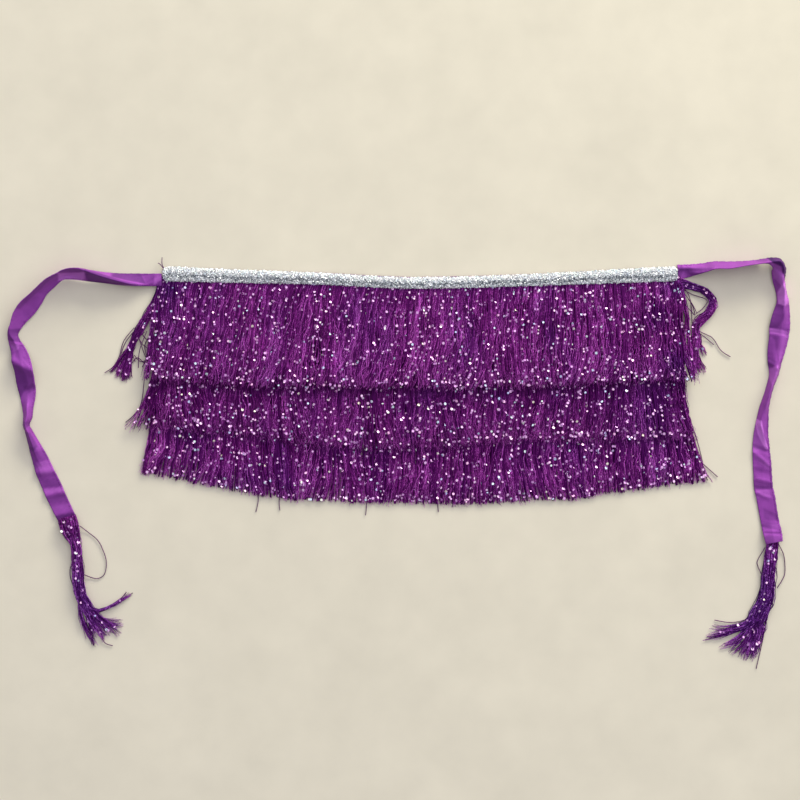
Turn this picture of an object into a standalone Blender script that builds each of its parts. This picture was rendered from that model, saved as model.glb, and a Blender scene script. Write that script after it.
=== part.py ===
"""Belly dance hip scarf, laid flat on a floor.

A narrow band of cloth carries three overlapping tiers of fringe, with a silver braid along
its waist edge. A folded satin tie is sewn to each end of the band and finishes in a tassel.
The waist runs along X, the fringe points to -Y and the floor is Z = 0.
Sizes in the tables are in millimetres, and named lengths are in metres.
"""
import math
from collections import namedtuple

import bmesh
import bpy

MM = 0.001

# Heights of what lies on what.
SEAM_GAP = 0.0003
BASE_THICKNESS = 0.0012
TAPE_THICKNESS = 0.0010
TAPE_DEPTH = 0.010
TIE_THICKNESS = 0.0014
TOP_TAPE_GAP = 0.0005
BRAID_EDGE = 0.0012
BRAID_CROWN = 0.0024
FLOOR_CLEARANCE = 0.0004

# Plan of the band, measured along the waist.
WAIST_LEFT = -0.2950
WAIST_RIGHT = 0.3470
BASE_BOTTOM_LEFT = -0.3040
BASE_BOTTOM_RIGHT = 0.3560
TOP_TAPE_LEFT = -0.2990
TOP_TAPE_RIGHT = 0.3515
STRAND_LENGTH = 0.128
TOP_ROOT_DROP = 0.004
BRAID_OVERHANG = 0.001
BASE_HEM = 0.002
BAND_STEPS = 24

# The fringe's locks, and how uneven the hem is.
LOCKS_PER_TIER = 54
LOCK_GAP = 0.0008
LOCK_TAPER = 0.06
LOCK_TOP_WIDTH = 0.8
LOCK_TIP_WIDTH = 0.65
STRAY_THICKNESS = 0.0026
HEM_RAGGEDNESS = 0.0028

# Height and width of the braid along the waist: it dips in the middle, where it also rolls.
WaistRow = namedtuple("WaistRow", "x y width")
WAIST = [
    WaistRow(-295, 239, 20.2),
    WaistRow(-199, 236, 18.0),
    WaistRow(-99, 233, 16.2),
    WaistRow(1, 228, 15.6),
    WaistRow(51, 228, 15.6),
    WaistRow(126, 230, 16.0),
    WaistRow(251, 235, 18.2),
    WaistRow(347, 239, 20.1),
]

# How far below the waist each tier's tips reach.
DropRow = namedtuple("DropRow", "x top middle bottom")
DROPS = [
    DropRow(-311, 132, 192, 249),
    DropRow(-249, 135, 198, 264),
    DropRow(-186, 137, 200, 271),
    DropRow(-99, 136, 210, 276),
    DropRow(1, 131, 210, 275),
    DropRow(76, 132, 205, 277),
    DropRow(164, 135, 202, 277),
    DropRow(251, 134, 206, 270),
    DropRow(314, 135, 208, 267),
    DropRow(376, 137, 207, 259),
]

# How a tier spreads at its two ends: the tips' sideways reach, how fast that fades
# inwards along the tape, and how late along the strand it comes.
FanRow = namedtuple("FanRow", "left left_fade right right_fade onset")
FANS = {
    "fringe_top": FanRow(34, 45, 36, 45, 0.6),
    "fringe_middle": FanRow(40, 22, 16, 60, 3.0),
    "fringe_bottom": FanRow(22, 60, 25, 60, 1.5),
}

# Places along a strand: millimetres from its root, lowest point and thickness. "tape"
# rows are measured from where the next tape down begins.
LockRow = namedtuple("LockRow", "start along low thick")
LOCKS = {
    "fringe_top": [
        LockRow("root", 8, 1.7, 1.0),
        LockRow("tape", 30, 4.7, 2.6),
        LockRow("tip", -20, 6.2, 2.4),
        LockRow("tip", 0, 6.6, 1.2),
    ],
    "fringe_middle": [
        LockRow("root", 8, 1.5, 1.8),
        LockRow("tape", 2, 2.9, 2.6),
        LockRow("tip", -18, 3.7, 2.4),
        LockRow("tip", 0, 3.7, 1.2),
    ],
    "fringe_bottom": [
        LockRow("root", 4, 1.5, 1.2),
        LockRow("root", 15, 0.4, 2.4),
        LockRow("tip", -18, 0.4, 2.6),
        LockRow("tip", 0, 0.4, 1.2),
    ],
}

# Waves along the waist that strands lean with: waves per metre in radians, how much a
# tier's own phase shifts them, and the lean at the tips.
SwayRow = namedtuple("SwayRow", "frequency shift lean")
SWAYS = [
    SwayRow(61, 1.0, 0.5),
    SwayRow(117, 2.3, 0.2),
    SwayRow(23, 0.7, 1.4),
]

# Routes of the two locks that stray from the ends of the top tier.
StrayRow = namedtuple("StrayRow", "x y width")
STRAY_LEFT = [
    StrayRow(-297, 228, 8.6),
    StrayRow(-302, 221, 8.1),
    StrayRow(-308, 205, 8.8),
    StrayRow(-315, 188, 11.2),
    StrayRow(-324, 170, 14.4),
    StrayRow(-331, 152, 15.0),
    StrayRow(-336, 135, 15.6),
    StrayRow(-344, 110, 9.5),
]
STRAY_RIGHT = [
    StrayRow(349, 228, 8.0),
    StrayRow(357, 225, 7.5),
    StrayRow(365, 222, 7.5),
    StrayRow(375, 219, 8.1),
    StrayRow(384, 214, 9.4),
    StrayRow(390, 206, 10.0),
    StrayRow(391, 198, 10.2),
    StrayRow(388, 189, 10.0),
    StrayRow(382, 181, 9.5),
    StrayRow(378, 170, 7.5),
    StrayRow(377, 158, 7.5),
    StrayRow(378, 142, 8.1),
    StrayRow(380, 128, 7.5),
    StrayRow(381, 115, 5.6),
]

# Sections across each tie, from the band to its free end. width is the width in plan; crest
# is where the strip's ridge stands, from -1 at the inner edge to 1 at the outer one; height,
# outer and inner are the heights of the ridge and the two edges; curl above 1 hollows the
# slopes.
TieRow = namedtuple("TieRow", "x y width crest height outer inner curl")
TIE_LEFT = [
    TieRow(-299, 230, 15.5, 0.0, 0, 0, 0, 1.0),
    TieRow(-313, 230, 15.8, 0.0, 0, 0, 0, 1.0),
    TieRow(-328, 230, 15.8, -0.95, 5, 0, 4, 1.0),
    TieRow(-350, 231, 14.1, -0.45, 9, 0, 0, 1.0),
    TieRow(-370, 233, 13.0, 0.10, 11, 2, 0, 1.0),
    TieRow(-386, 235, 13.5, 0.60, 12, 6, 0, 1.0),
    TieRow(-401, 237, 14.2, 0.95, 13, 12, 0, 1.6),
    TieRow(-414, 237, 12.5, 1.0, 14, 14, 0, 2.2),
    TieRow(-423, 235, 9.4, 1.0, 14, 14, 0, 2.0),
    TieRow(-435, 226, 12.5, 1.0, 13, 13, 0, 2.0),
    TieRow(-445, 216, 13.0, 1.0, 12, 12, 0, 2.0),
    TieRow(-453, 206, 17.0, 1.0, 11, 11, 0, 2.0),
    TieRow(-463, 195, 20.9, 1.0, 10, 10, 0, 2.0),
    TieRow(-472, 184, 18.8, 1.0, 10, 10, 0, 1.6),
    TieRow(-478, 173, 13.8, 1.0, 10, 10, 0, 1.2),
    TieRow(-482, 163, 12.1, 0.7, 9, 7, 0, 1.0),
    TieRow(-481, 154, 14.1, 0.0, 5, 0, 1, 1.0),
    TieRow(-476, 143, 18.5, 0.0, 4, 2, 2, 1.0),
    TieRow(-472, 131, 22.4, 0.0, 7, 6, 4, 1.0),
    TieRow(-468, 116, 23.8, 0.0, 8, 3, 8, 1.0),
    TieRow(-466, 100, 23.2, 0.0, 3, 1, 5, 1.0),
    TieRow(-464, 85, 19.9, 0.0, 2, 0, 1, 1.0),
    TieRow(-464, 70, 13.5, 0.0, 7, 0, 0, 1.0),
    TieRow(-464, 59, 10.8, 0.0, 9, 0, 0, 1.0),
    TieRow(-466, 49, 7.8, 0.0, 11, 0, 0, 1.0),
    TieRow(-463, 41, 8.8, 0.0, 10, 0, 0, 1.0),
    TieRow(-458, 29, 12.5, 0.2, 8, 0, 0, 1.0),
    TieRow(-450, 10, 18.9, 0.3, 4, 0, 0, 1.0),
    TieRow(-443, -8, 22.5, 0.0, 1, 0, 0, 1.0),
    TieRow(-434, -28, 24.1, 0.0, 0, 0, 0, 1.0),
    TieRow(-425, -48, 23.8, 0.0, 0, 0, 0, 1.0),
    TieRow(-417, -64, 23.0, 0.0, 0, 0, 0, 1.0),
    TieRow(-412, -75, 22.5, 0.0, 0, 0, 0, 1.0),
]
TIE_RIGHT = [
    TieRow(348, 240, 17.6, 0.0, 0, 0, 0, 1.0),
    TieRow(359, 241, 16.4, 0.0, 0, 0, 0, 1.0),
    TieRow(370, 243, 13.6, -0.8, 8, 0, 6, 1.0),
    TieRow(381, 245, 11.8, -1.0, 14, 0, 14, 1.0),
    TieRow(394, 248, 10.0, -1.0, 17, 0, 17, 1.0),
    TieRow(411, 248, 9.6, -1.0, 19, 0, 19, 1.0),
    TieRow(431, 250, 6.8, -1.0, 20, 0, 20, 1.0),
    TieRow(448, 252, 6.0, -1.0, 20, 0, 20, 1.0),
    TieRow(460, 253, 8.1, -0.5, 20, 4, 16, 1.0),
    TieRow(469, 250, 12.5, 0.4, 17, 2, 6, 0.8),
    TieRow(473, 241, 16.2, 0.5, 15, 2, 3, 0.8),
    TieRow(474, 230, 15.5, 0.5, 13, 0, 2, 1.0),
    TieRow(477, 216, 13.0, 0.4, 12, 0, 0, 1.0),
    TieRow(479, 202, 15.2, 0.1, 9, 0, 0, 1.0),
    TieRow(478, 186, 21.2, 0.3, 7, 0, 1, 1.0),
    TieRow(475, 171, 25.0, 0.3, 3, 2, 1, 1.0),
    TieRow(474, 158, 24.4, 0.3, 5, 0, 2, 1.0),
    TieRow(471, 142, 22.0, 0.4, 4, 0, 1, 1.0),
    TieRow(469, 128, 17.5, 0.5, 7, 0, 0, 1.0),
    TieRow(468, 112, 11.2, 0.2, 10, 0, 0, 1.0),
    TieRow(464, 99, 8.8, 0.0, 11, 0, 0, 1.0),
    TieRow(460, 85, 8.9, 0.0, 11, 0, 0, 1.0),
    TieRow(456, 70, 11.5, 0.0, 9, 0, 0, 1.0),
    TieRow(454, 55, 14.8, -0.4, 7, 0, 0, 1.0),
    TieRow(452, 38, 17.9, 0.2, 5, 0, 0, 1.0),
    TieRow(452, 21, 21.1, 0.6, 3, 0, 0, 1.0),
    TieRow(453, 5, 22.6, 0.3, 2, 0, 0, 1.0),
    TieRow(454, -11, 23.0, 0.0, 1, 0, 0, 1.0),
    TieRow(455, -28, 23.5, 0.0, 1, 0, 0, 1.0),
    TieRow(458, -42, 23.5, 0.0, 0, 0, 0, 1.0),
    TieRow(461, -60, 22.9, 0.0, 0, 0, 0, 1.0),
    TieRow(464, -76, 23.0, 0.0, 1, 0, 0, 1.0),
    TieRow(466, -87, 23.0, 0.0, 6, 4, 4, 1.0),
    TieRow(468, -98, 21.6, 0.0, 6, 4, 4, 1.0),
]

# Ripples that cross a tie: distance of the ripple from the free end, how much nearer to that
# end it lies at the outer edge, its height and half its length.
RippleRow = namedtuple("RippleRow", "from_end slant rise reach")
RIPPLES = {
    "tie_left": [
        RippleRow(24, 2, 1.6, 7),
        RippleRow(40, 2, 2.2, 8),
        RippleRow(58, 3, 2.2, 9),
        RippleRow(80, 3, 2.6, 10),
    ],
    "tie_right": [
        RippleRow(40, 2, 1.4, 9),
        RippleRow(66, -5, 2.0, 9),
        RippleRow(92, -7, 2.2, 9),
        RippleRow(118, -7, 2.0, 9),
    ],
}
TIE_ROWS_ACROSS = 7
TIE_STEPS_PER_ROW = 2

# Sections across each tassel, from its head down the neck, then where each lane's tips lie.
TasselRow = namedtuple("TasselRow", "x y width low")
TipRow = namedtuple("TipRow", "x y")
TASSEL_LEFT = [
    TasselRow(-413, -71, 22.0, 1.7),
    TasselRow(-411, -77, 20.5, 1.7),
    TasselRow(-407, -89, 17.0, 0.4),
    TasselRow(-404, -101, 14.2, 0.4),
    TasselRow(-402, -120, 15.0, 0.4),
    TasselRow(-401, -139, 15.6, 0.4),
    TasselRow(-399, -158, 14.6, 0.4),
    TasselRow(-394, -172, 17.0, 0.4),
]
TIPS_LEFT = [
    TipRow(-380, -226),
    TipRow(-372, -224),
    TipRow(-364, -222),
    TipRow(-355, -219),
    TipRow(-347, -214),
    TipRow(-340, -200),
    TipRow(-329, -159),
]
TASSEL_RIGHT = [
    TasselRow(467, -93, 16.0, 0.4),
    TasselRow(465, -105, 17.0, 0.4),
    TasselRow(464, -120, 19.4, 0.4),
    TasselRow(462, -138, 21.0, 0.4),
    TasselRow(461, -155, 21.0, 0.4),
    TasselRow(457, -172, 23.8, 0.4),
    TasselRow(449, -190, 29.0, 0.4),
]
TIPS_RIGHT = [
    TipRow(384, -214),
    TipRow(396, -228),
    TipRow(409, -234),
    TipRow(420, -241),
    TipRow(430, -248),
    TipRow(439, -245),
    TipRow(448, -256),
]
TASSEL_LAYERS = 3
TASSEL_LAYER_PITCH = {"tassel_left": 0.00175, "tassel_right": 0.00120}
TASSEL_LAYER_GAP = 0.00032
TASSEL_LANE_FILL = 0.78
TASSEL_HEAD_DEPTH = 0.004
TASSEL_TIP_WIDTH = 0.0012
TASSEL_TIP_SPREAD = 0.0021
TASSEL_SPREAD_BY = 0.7
TASSEL_LAYER_SHORTER = 0.05

FINISHES = {
    "base_cloth": ("base cloth", (0.150, 0.030, 0.190), 0.85, 0.0),
    "silver_trim": ("silver braid", (0.620, 0.610, 0.610), 0.35, 0.6),
    "fringe_top": ("purple fringe", (0.155, 0.030, 0.165), 0.60, 0.0),
    "fringe_middle": ("purple fringe", (0.155, 0.030, 0.165), 0.60, 0.0),
    "fringe_bottom": ("purple fringe", (0.155, 0.030, 0.165), 0.60, 0.0),
    "tie_left": ("purple satin", (0.240, 0.060, 0.300), 0.45, 0.0),
    "tie_right": ("purple satin", (0.240, 0.060, 0.300), 0.45, 0.0),
    "tassel_left": ("purple fringe", (0.155, 0.030, 0.165), 0.60, 0.0),
    "tassel_right": ("purple fringe", (0.155, 0.030, 0.165), 0.60, 0.0),
}


def clear_scene():
    for item in list(bpy.data.objects):
        bpy.data.objects.remove(item, do_unlink=True)


def finish(name):
    label, colour, roughness, metallic = FINISHES[name]
    material = bpy.data.materials.new(f"{label} {name}")
    material.use_nodes = True
    shader = material.node_tree.nodes["Principled BSDF"]
    shader.inputs["Base Color"].default_value = (*colour, 1.0)
    shader.inputs["Roughness"].default_value = roughness
    shader.inputs["Metallic"].default_value = metallic
    return material


def add_object(name, bm):
    """Turns the closed shape in bm into one named object with its own material."""
    bmesh.ops.recalc_face_normals(bm, faces=bm.faces)
    mesh = bpy.data.meshes.new(name)
    bm.to_mesh(mesh)
    bm.free()
    mesh.materials.append(finish(name))
    piece = bpy.data.objects.new(name, mesh)
    bpy.context.scene.collection.objects.link(piece)
    return piece


def blend(before, start, end, after, share):
    """A smooth curve's value between start and end, with its neighbours on both sides."""
    lean_start = (end - before) / 2
    lean_end = (after - start) / 2
    square = share * share
    cube = square * share
    return (
        (2 * cube - 3 * square + 1) * start
        + (cube - 2 * square + share) * lean_start
        + (3 * square - 2 * cube) * end
        + (cube - square) * lean_end
    )


def row_at(rows, place):
    """The rows' numbers at a place counted in rows, read from smooth curves."""
    last = len(rows) - 1
    index = min(int(place), last - 1)
    share = place - index
    near = [rows[min(max(index + step, 0), last)] for step in (-1, 0, 1, 2)]
    values = [blend(*column, share) for column in zip(*near)]
    return type(rows[0])(*values)


def row_at_x(rows, x):
    """The rows' numbers at x metres along the waist. The rows are in order of x."""
    x_mm = min(max(x / MM, rows[0].x), rows[-1].x)
    index = 0
    while index < len(rows) - 2 and rows[index + 1].x < x_mm:
        index += 1
    share = (x_mm - rows[index].x) / (rows[index + 1].x - rows[index].x)
    return row_at(rows, index + share)


def waist_y(x):
    return row_at_x(WAIST, x).y * MM


def strand_root_y(name, x):
    """Where a tier's strands leave their tape, at x along the waist."""
    if name == "fringe_top":
        return waist_y(x) - TOP_ROOT_DROP
    drop = getattr(row_at_x(DROPS, x), name.split("_")[1]) * MM
    return waist_y(x) - drop + STRAND_LENGTH


def strand_tip_y(name, x):
    return waist_y(x) - getattr(row_at_x(DROPS, x), name.split("_")[1]) * MM


def add_face(bm, *corners):
    return bm.faces.new(corners)


def slab_from_strips(bm, far, near, low, high):
    """Closes a flat slab between two lines of points that run side by side."""
    far_low = [bm.verts.new((x, y, low)) for x, y in far]
    far_high = [bm.verts.new((x, y, high)) for x, y in far]
    near_low = [bm.verts.new((x, y, low)) for x, y in near]
    near_high = [bm.verts.new((x, y, high)) for x, y in near]
    for i in range(len(far) - 1):
        add_face(bm, far_high[i], far_high[i + 1], near_high[i + 1], near_high[i])
        add_face(bm, far_low[i], near_low[i], near_low[i + 1], far_low[i + 1])
        add_face(bm, far_low[i], far_low[i + 1], far_high[i + 1], far_high[i])
        add_face(bm, near_low[i], near_high[i], near_high[i + 1], near_low[i + 1])
    for i in (0, -1):
        add_face(bm, far_low[i], far_high[i], near_high[i], near_low[i])


def base_cloth():
    """The band that the tapes are sewn to, from under the braid to the lowest tape."""
    far = []
    near = []
    for i in range(BAND_STEPS + 1):
        share = i / BAND_STEPS
        x_top = WAIST_LEFT + (WAIST_RIGHT - WAIST_LEFT) * share
        x_bottom = BASE_BOTTOM_LEFT + (BASE_BOTTOM_RIGHT - BASE_BOTTOM_LEFT) * share
        section = row_at_x(WAIST, x_top)
        far.append((x_top, (section.y + section.width / 2) * MM - BRAID_OVERHANG))
        near.append((x_bottom, strand_root_y("fringe_bottom", x_bottom) - BASE_HEM))
    bm = bmesh.new()
    slab_from_strips(bm, far, near, 0.0, BASE_THICKNESS)
    add_object("base_cloth", bm)


def silver_trim():
    """The braid along the waist edge: a low crowned strip over the top tape."""
    low = BASE_THICKNESS + TOP_TAPE_GAP + TAPE_THICKNESS + SEAM_GAP
    crown = [(-1.0, BRAID_EDGE), (-0.6, BRAID_CROWN), (0.6, BRAID_CROWN), (1.0, BRAID_EDGE)]
    bm = bmesh.new()
    rings = []
    for i in range(BAND_STEPS + 1):
        x = WAIST_LEFT - SEAM_GAP + (WAIST_RIGHT - WAIST_LEFT) * i / BAND_STEPS
        section = row_at_x(WAIST, x)
        half = section.width / 2 * MM
        middle = section.y * MM
        ring = [bm.verts.new((x, middle + half * place, low + high)) for place, high in crown]
        ring += [bm.verts.new((x, middle + half * place, low)) for place in (1.0, -1.0)]
        rings.append(ring)
    count = len(rings[0])
    for one, other in zip(rings, rings[1:]):
        for k in range(count):
            add_face(bm, one[k], other[k], other[(k + 1) % count], one[(k + 1) % count])
    for ring in (rings[0], rings[-1]):
        add_face(bm, *ring)
    add_object("silver_trim", bm)


def sway(x, phase):
    """How far strands lean sideways at their tips, smoothly along the waist."""
    waves = [math.sin(x * row.frequency + row.shift * phase) * row.lean for row in SWAYS]
    return sum(waves) * MM


def raggedness(index, phase):
    """Each lock ends a little higher or lower than the tier's hem."""
    return math.sin(index * 2.4 + phase) * math.sin(index * 0.9 + 3 * phase)


def lock_section(bm, x, y, across, width, low, thick):
    """Four corners of a lock, narrower on top, in the order of its root's corners."""
    half = width / 2
    top = half * LOCK_TOP_WIDTH
    corners = ((-half, low), (half, low), (top, low + thick), (-top, low + thick))
    return [bm.verts.new((x + across[0] * u, y + across[1] * u, z)) for u, z in corners]


def join_sections(bm, sections):
    """Skins a lock from its root's corners to its tip."""
    for one, other in zip(sections, sections[1:]):
        for k in range(4):
            add_face(bm, one[k], one[(k + 1) % 4], other[(k + 1) % 4], other[k])
    add_face(bm, *sections[-1])


def hanging_lock(bm, name, root, x, pitch, index, lean):
    """A lock that hangs straight down from the tape and lies on the tier below."""
    fan = FANS[name]
    phase = 1.0 + list(FANS).index(name)
    root_y = strand_root_y(name, x)
    tip_y = strand_tip_y(name, x) - raggedness(index, phase) * HEM_RAGGEDNESS
    length = root_y - tip_y
    tape_start = length
    if name != "fringe_bottom":
        lower = "fringe_middle" if name == "fringe_top" else "fringe_bottom"
        tape_start = root_y - strand_root_y(lower, x) - TAPE_DEPTH
    starts = {"root": 0.0, "tape": tape_start, "tip": length}
    sections = [root]
    for row in LOCKS[name]:
        along = starts[row.start] + row.along * MM
        share = along / length
        shift = lean * share**fan.onset + sway(x, phase) * share
        width = (pitch - LOCK_GAP) * (1 - LOCK_TAPER * share)
        if row is LOCKS[name][-1]:
            width *= LOCK_TIP_WIDTH
        low = row.low * MM
        place = (x + shift, root_y - along)
        sections.append(lock_section(bm, *place, (1, 0), width, low, row.thick * MM))
    join_sections(bm, sections)


def stray_lock(bm, root, rows, start_low, thick):
    """A lock that leaves the end of the tape on its own route across the floor."""
    sections = [root]
    last = len(rows) - 1
    for i, row in enumerate(rows):
        after = rows[min(i + 1, last)]
        before = rows[max(i - 1, 0)]
        run = (after.x - before.x, after.y - before.y)
        length = math.hypot(*run)
        across = (-run[1] / length, run[0] / length)
        low = start_low if i < 3 else FLOOR_CLEARANCE
        high = TAPE_THICKNESS if i == 0 else thick
        if i == last:
            high = thick / 2
        place = (row.x * MM, row.y * MM)
        sections.append(lock_section(bm, *place, across, row.width * MM, low, high))
    join_sections(bm, sections)


def fringe_tier(name, left, right, low):
    """A tape with its locks: each lock grows out of the tape's lower face."""
    count = LOCKS_PER_TIER
    pitch = (right - left) / count
    half = (pitch - LOCK_GAP) / 2
    fan = FANS[name]
    bm = bmesh.new()
    back = []
    roots = []
    for i in range(count + 1):
        x = left + pitch * i
        y = strand_root_y(name, x) + TAPE_DEPTH
        back.append([bm.verts.new((x, y, z)) for z in (low, low + TAPE_THICKNESS)])
    for i in range(count):
        middle = left + pitch * (i + 0.5)
        corner_x = (left if i == 0 else middle - half, right if i == count - 1 else middle + half)
        high = low + TAPE_THICKNESS
        corners = ((0, low), (1, low), (1, high), (0, high))
        places = [(corner_x[side], z) for side, z in corners]
        roots.append([bm.verts.new((x, strand_root_y(name, x), z)) for x, z in places])
    for i, root in enumerate(roots):
        one, other = back[i], back[i + 1]
        if i < count - 1:
            after = roots[i + 1]
            add_face(bm, one[1], other[1], after[3], root[2], root[3])
            add_face(bm, one[0], root[0], root[1], after[0], other[0])
            add_face(bm, root[1], root[2], after[3], after[0])
        else:
            add_face(bm, one[1], other[1], root[2], root[3])
            add_face(bm, one[0], root[0], root[1], other[0])
        add_face(bm, one[0], other[0], other[1], one[1])
    add_face(bm, back[0][0], back[0][1], roots[0][3], roots[0][0])
    add_face(bm, back[-1][0], back[-1][1], roots[-1][2], roots[-1][1])
    for i, root in enumerate(roots):
        x = left + pitch * (i + 0.5)
        if name == "fringe_top" and i == 0:
            stray_lock(bm, root, STRAY_LEFT, low, STRAY_THICKNESS)
            continue
        if name == "fringe_top" and i == count - 1:
            stray_lock(bm, root, STRAY_RIGHT, low, STRAY_THICKNESS)
            continue
        lean = fan.right * math.exp((x - right) / MM / fan.right_fade)
        lean -= fan.left * math.exp((left - x) / MM / fan.left_fade)
        hanging_lock(bm, name, root, x, pitch, i, lean * MM)
    add_object(name, bm)


def tie_profile(row, place):
    """The height of a tie's middle surface at place across it, -1 inner to 1 outer."""
    crest = min(max(row.crest, -0.999), 0.999)
    if place < crest:
        share = (place + 1) / (crest + 1)
        edge = row.inner
    else:
        share = (1 - place) / (1 - crest)
        edge = row.outer
    return edge + (row.height - edge) * max(share, 0.0) ** row.curl


def tie(name, rows, side):
    """A folded strip of satin lying along the route, one closed wall from end to end."""
    steps = (len(rows) - 1) * TIE_STEPS_PER_ROW
    stations = [row_at(rows, i / TIE_STEPS_PER_ROW) for i in range(steps + 1)]
    distance = [0.0]
    for one, other in zip(stations, stations[1:]):
        distance.append(distance[-1] + math.hypot(other.x - one.x, other.y - one.y))
    bm = bmesh.new()
    rings = []
    for i, row in enumerate(stations):
        before = stations[max(i - 2, 0)]
        after = stations[min(i + 2, steps)]
        run = (after.x - before.x, after.y - before.y)
        length = math.hypot(*run)
        across = (-run[1] / length * side, run[0] / length * side)
        from_end = distance[-1] - distance[i]
        half = row.width / 2
        line = []
        for k in range(TIE_ROWS_ACROSS):
            place = -1 + 2 * k / (TIE_ROWS_ACROSS - 1)
            height = tie_profile(row, place)
            for ripple in RIPPLES[name]:
                offset = (from_end - ripple.from_end + ripple.slant * place) / ripple.reach
                height += ripple.rise * math.exp(-offset * offset)
            line.append((half * place, height))
        rings.append(tie_ring(bm, row, across, line))
    count = len(rings[0])
    for one, other in zip(rings, rings[1:]):
        for k in range(count):
            add_face(bm, one[k], one[(k + 1) % count], other[(k + 1) % count], other[k])
    for ring in (rings[0], rings[-1]):
        for k in range(TIE_ROWS_ACROSS - 1):
            add_face(bm, ring[k], ring[k + 1], ring[count - 2 - k], ring[count - 1 - k])
    add_object(name, bm)


def tie_ring(bm, row, across, line):
    """Both faces of the wall at one section, square to the line, its lowest point resting."""
    wall = TIE_THICKNESS / MM
    last = len(line) - 1
    faces = {1: [], -1: []}
    for k, (u, z) in enumerate(line):
        u0, z0 = line[max(k - 1, 0)]
        u1, z1 = line[min(k + 1, last)]
        run = math.hypot(u1 - u0, z1 - z0)
        normal = (-(z1 - z0) / run, (u1 - u0) / run)
        for face in faces:
            reach = face * wall / 2
            faces[face].append((u + normal[0] * reach, z + normal[1] * reach))
    rest = min(z for _, z in faces[-1])
    lift = min(z for _, z in line) - rest
    ring = faces[1] + faces[-1][::-1]
    verts = []
    for u, z in ring:
        x = (row.x + across[0] * u) * MM
        y = (row.y + across[1] * u) * MM
        verts.append(bm.verts.new((x, y, max(z + lift, 0.0) * MM)))
    return verts


def tassel_lane(rows, tip, lane, lanes):
    """Points along one lane: through the head and the neck, then out to its tips."""
    place = (lane + 0.5) / lanes * 2 - 1
    points = []
    last = len(rows) - 1
    for i, row in enumerate(rows):
        before = rows[max(i - 1, 0)]
        after = rows[min(i + 1, last)]
        run = (after.x - before.x, after.y - before.y)
        length = math.hypot(*run)
        across = (-run[1] / length, run[0] / length)
        offset = place * row.width / 2
        points.append((row.x + across[0] * offset, row.y + across[1] * offset))
    lean = (points[-1][0] - points[-2][0], points[-1][1] - points[-2][1])
    reach = math.hypot(tip.x - points[-1][0], tip.y - points[-1][1])
    run = math.hypot(*lean)
    ahead = ((tip.x - points[-1][0]) * lean[0] + (tip.y - points[-1][1]) * lean[1]) / run
    scale = max(ahead, reach * 0.3) / 2 / run
    start = points[-1]
    bend = (start[0] + lean[0] * scale, start[1] + lean[1] * scale)
    for share in (0.25, 0.5, 0.75, 1.0):
        rest = 1 - share
        curve = [
            rest * rest * a + 2 * rest * share * b + share * share * c
            for a, b, c in zip(start, bend, (tip.x, tip.y))
        ]
        points.append(tuple(curve))
    return points


def tassel(name, rows, tips):
    """A gathered head with layers of locks that run down the neck and fan out."""
    lanes = len(tips)
    pitch = TASSEL_LAYER_PITCH[name] / MM
    thick = pitch - TASSEL_LAYER_GAP / MM
    head = rows[0]
    run = (rows[1].x - head.x, rows[1].y - head.y)
    length = math.hypot(*run)
    along = (run[0] / length, run[1] / length)
    across = (-along[1], along[0])
    bm = bmesh.new()
    lane_width = head.width / lanes
    fill = lane_width * TASSEL_LANE_FILL / 2
    columns = []
    for lane in range(lanes):
        middle = -head.width / 2 + lane_width * (lane + 0.5)
        columns += [middle - fill, middle + fill]
    levels = []
    for layer in range(TASSEL_LAYERS):
        low = head.low + pitch * layer
        levels += [low, low + thick]
    depth = TASSEL_HEAD_DEPTH / MM

    def head_point(u, z, back):
        x = head.x + across[0] * u - along[0] * back
        y = head.y + across[1] * u - along[1] * back
        return bm.verts.new((x * MM, y * MM, z * MM))

    front = [[head_point(u, z, 0.0) for u in columns] for z in levels]
    wide = len(columns) - 1
    tall = len(levels) - 1
    roots = {}
    for j in range(tall):
        for i in range(wide):
            cell = (front[j][i], front[j][i + 1], front[j + 1][i + 1], front[j + 1][i])
            if i % 2 == 0 and j % 2 == 0:
                roots[i // 2, j // 2] = cell
            else:
                add_face(bm, *cell)
    rim = [(i, 0) for i in range(wide)] + [(wide, j) for j in range(tall)]
    rim += [(i, tall) for i in range(wide, 0, -1)] + [(0, j) for j in range(tall, 0, -1)]
    back = [head_point(columns[i], levels[j], depth) for i, j in rim]
    for k, (i, j) in enumerate(rim):
        after_i, after_j = rim[(k + 1) % len(rim)]
        one, other = back[k], back[(k + 1) % len(rim)]
        add_face(bm, front[j][i], front[after_j][after_i], other, one)
    add_face(bm, *back)
    for (lane, layer), root in roots.items():
        tassel_lock(bm, rows, tips, lane, layer, root, (pitch, thick))
    add_object(name, bm)


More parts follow.
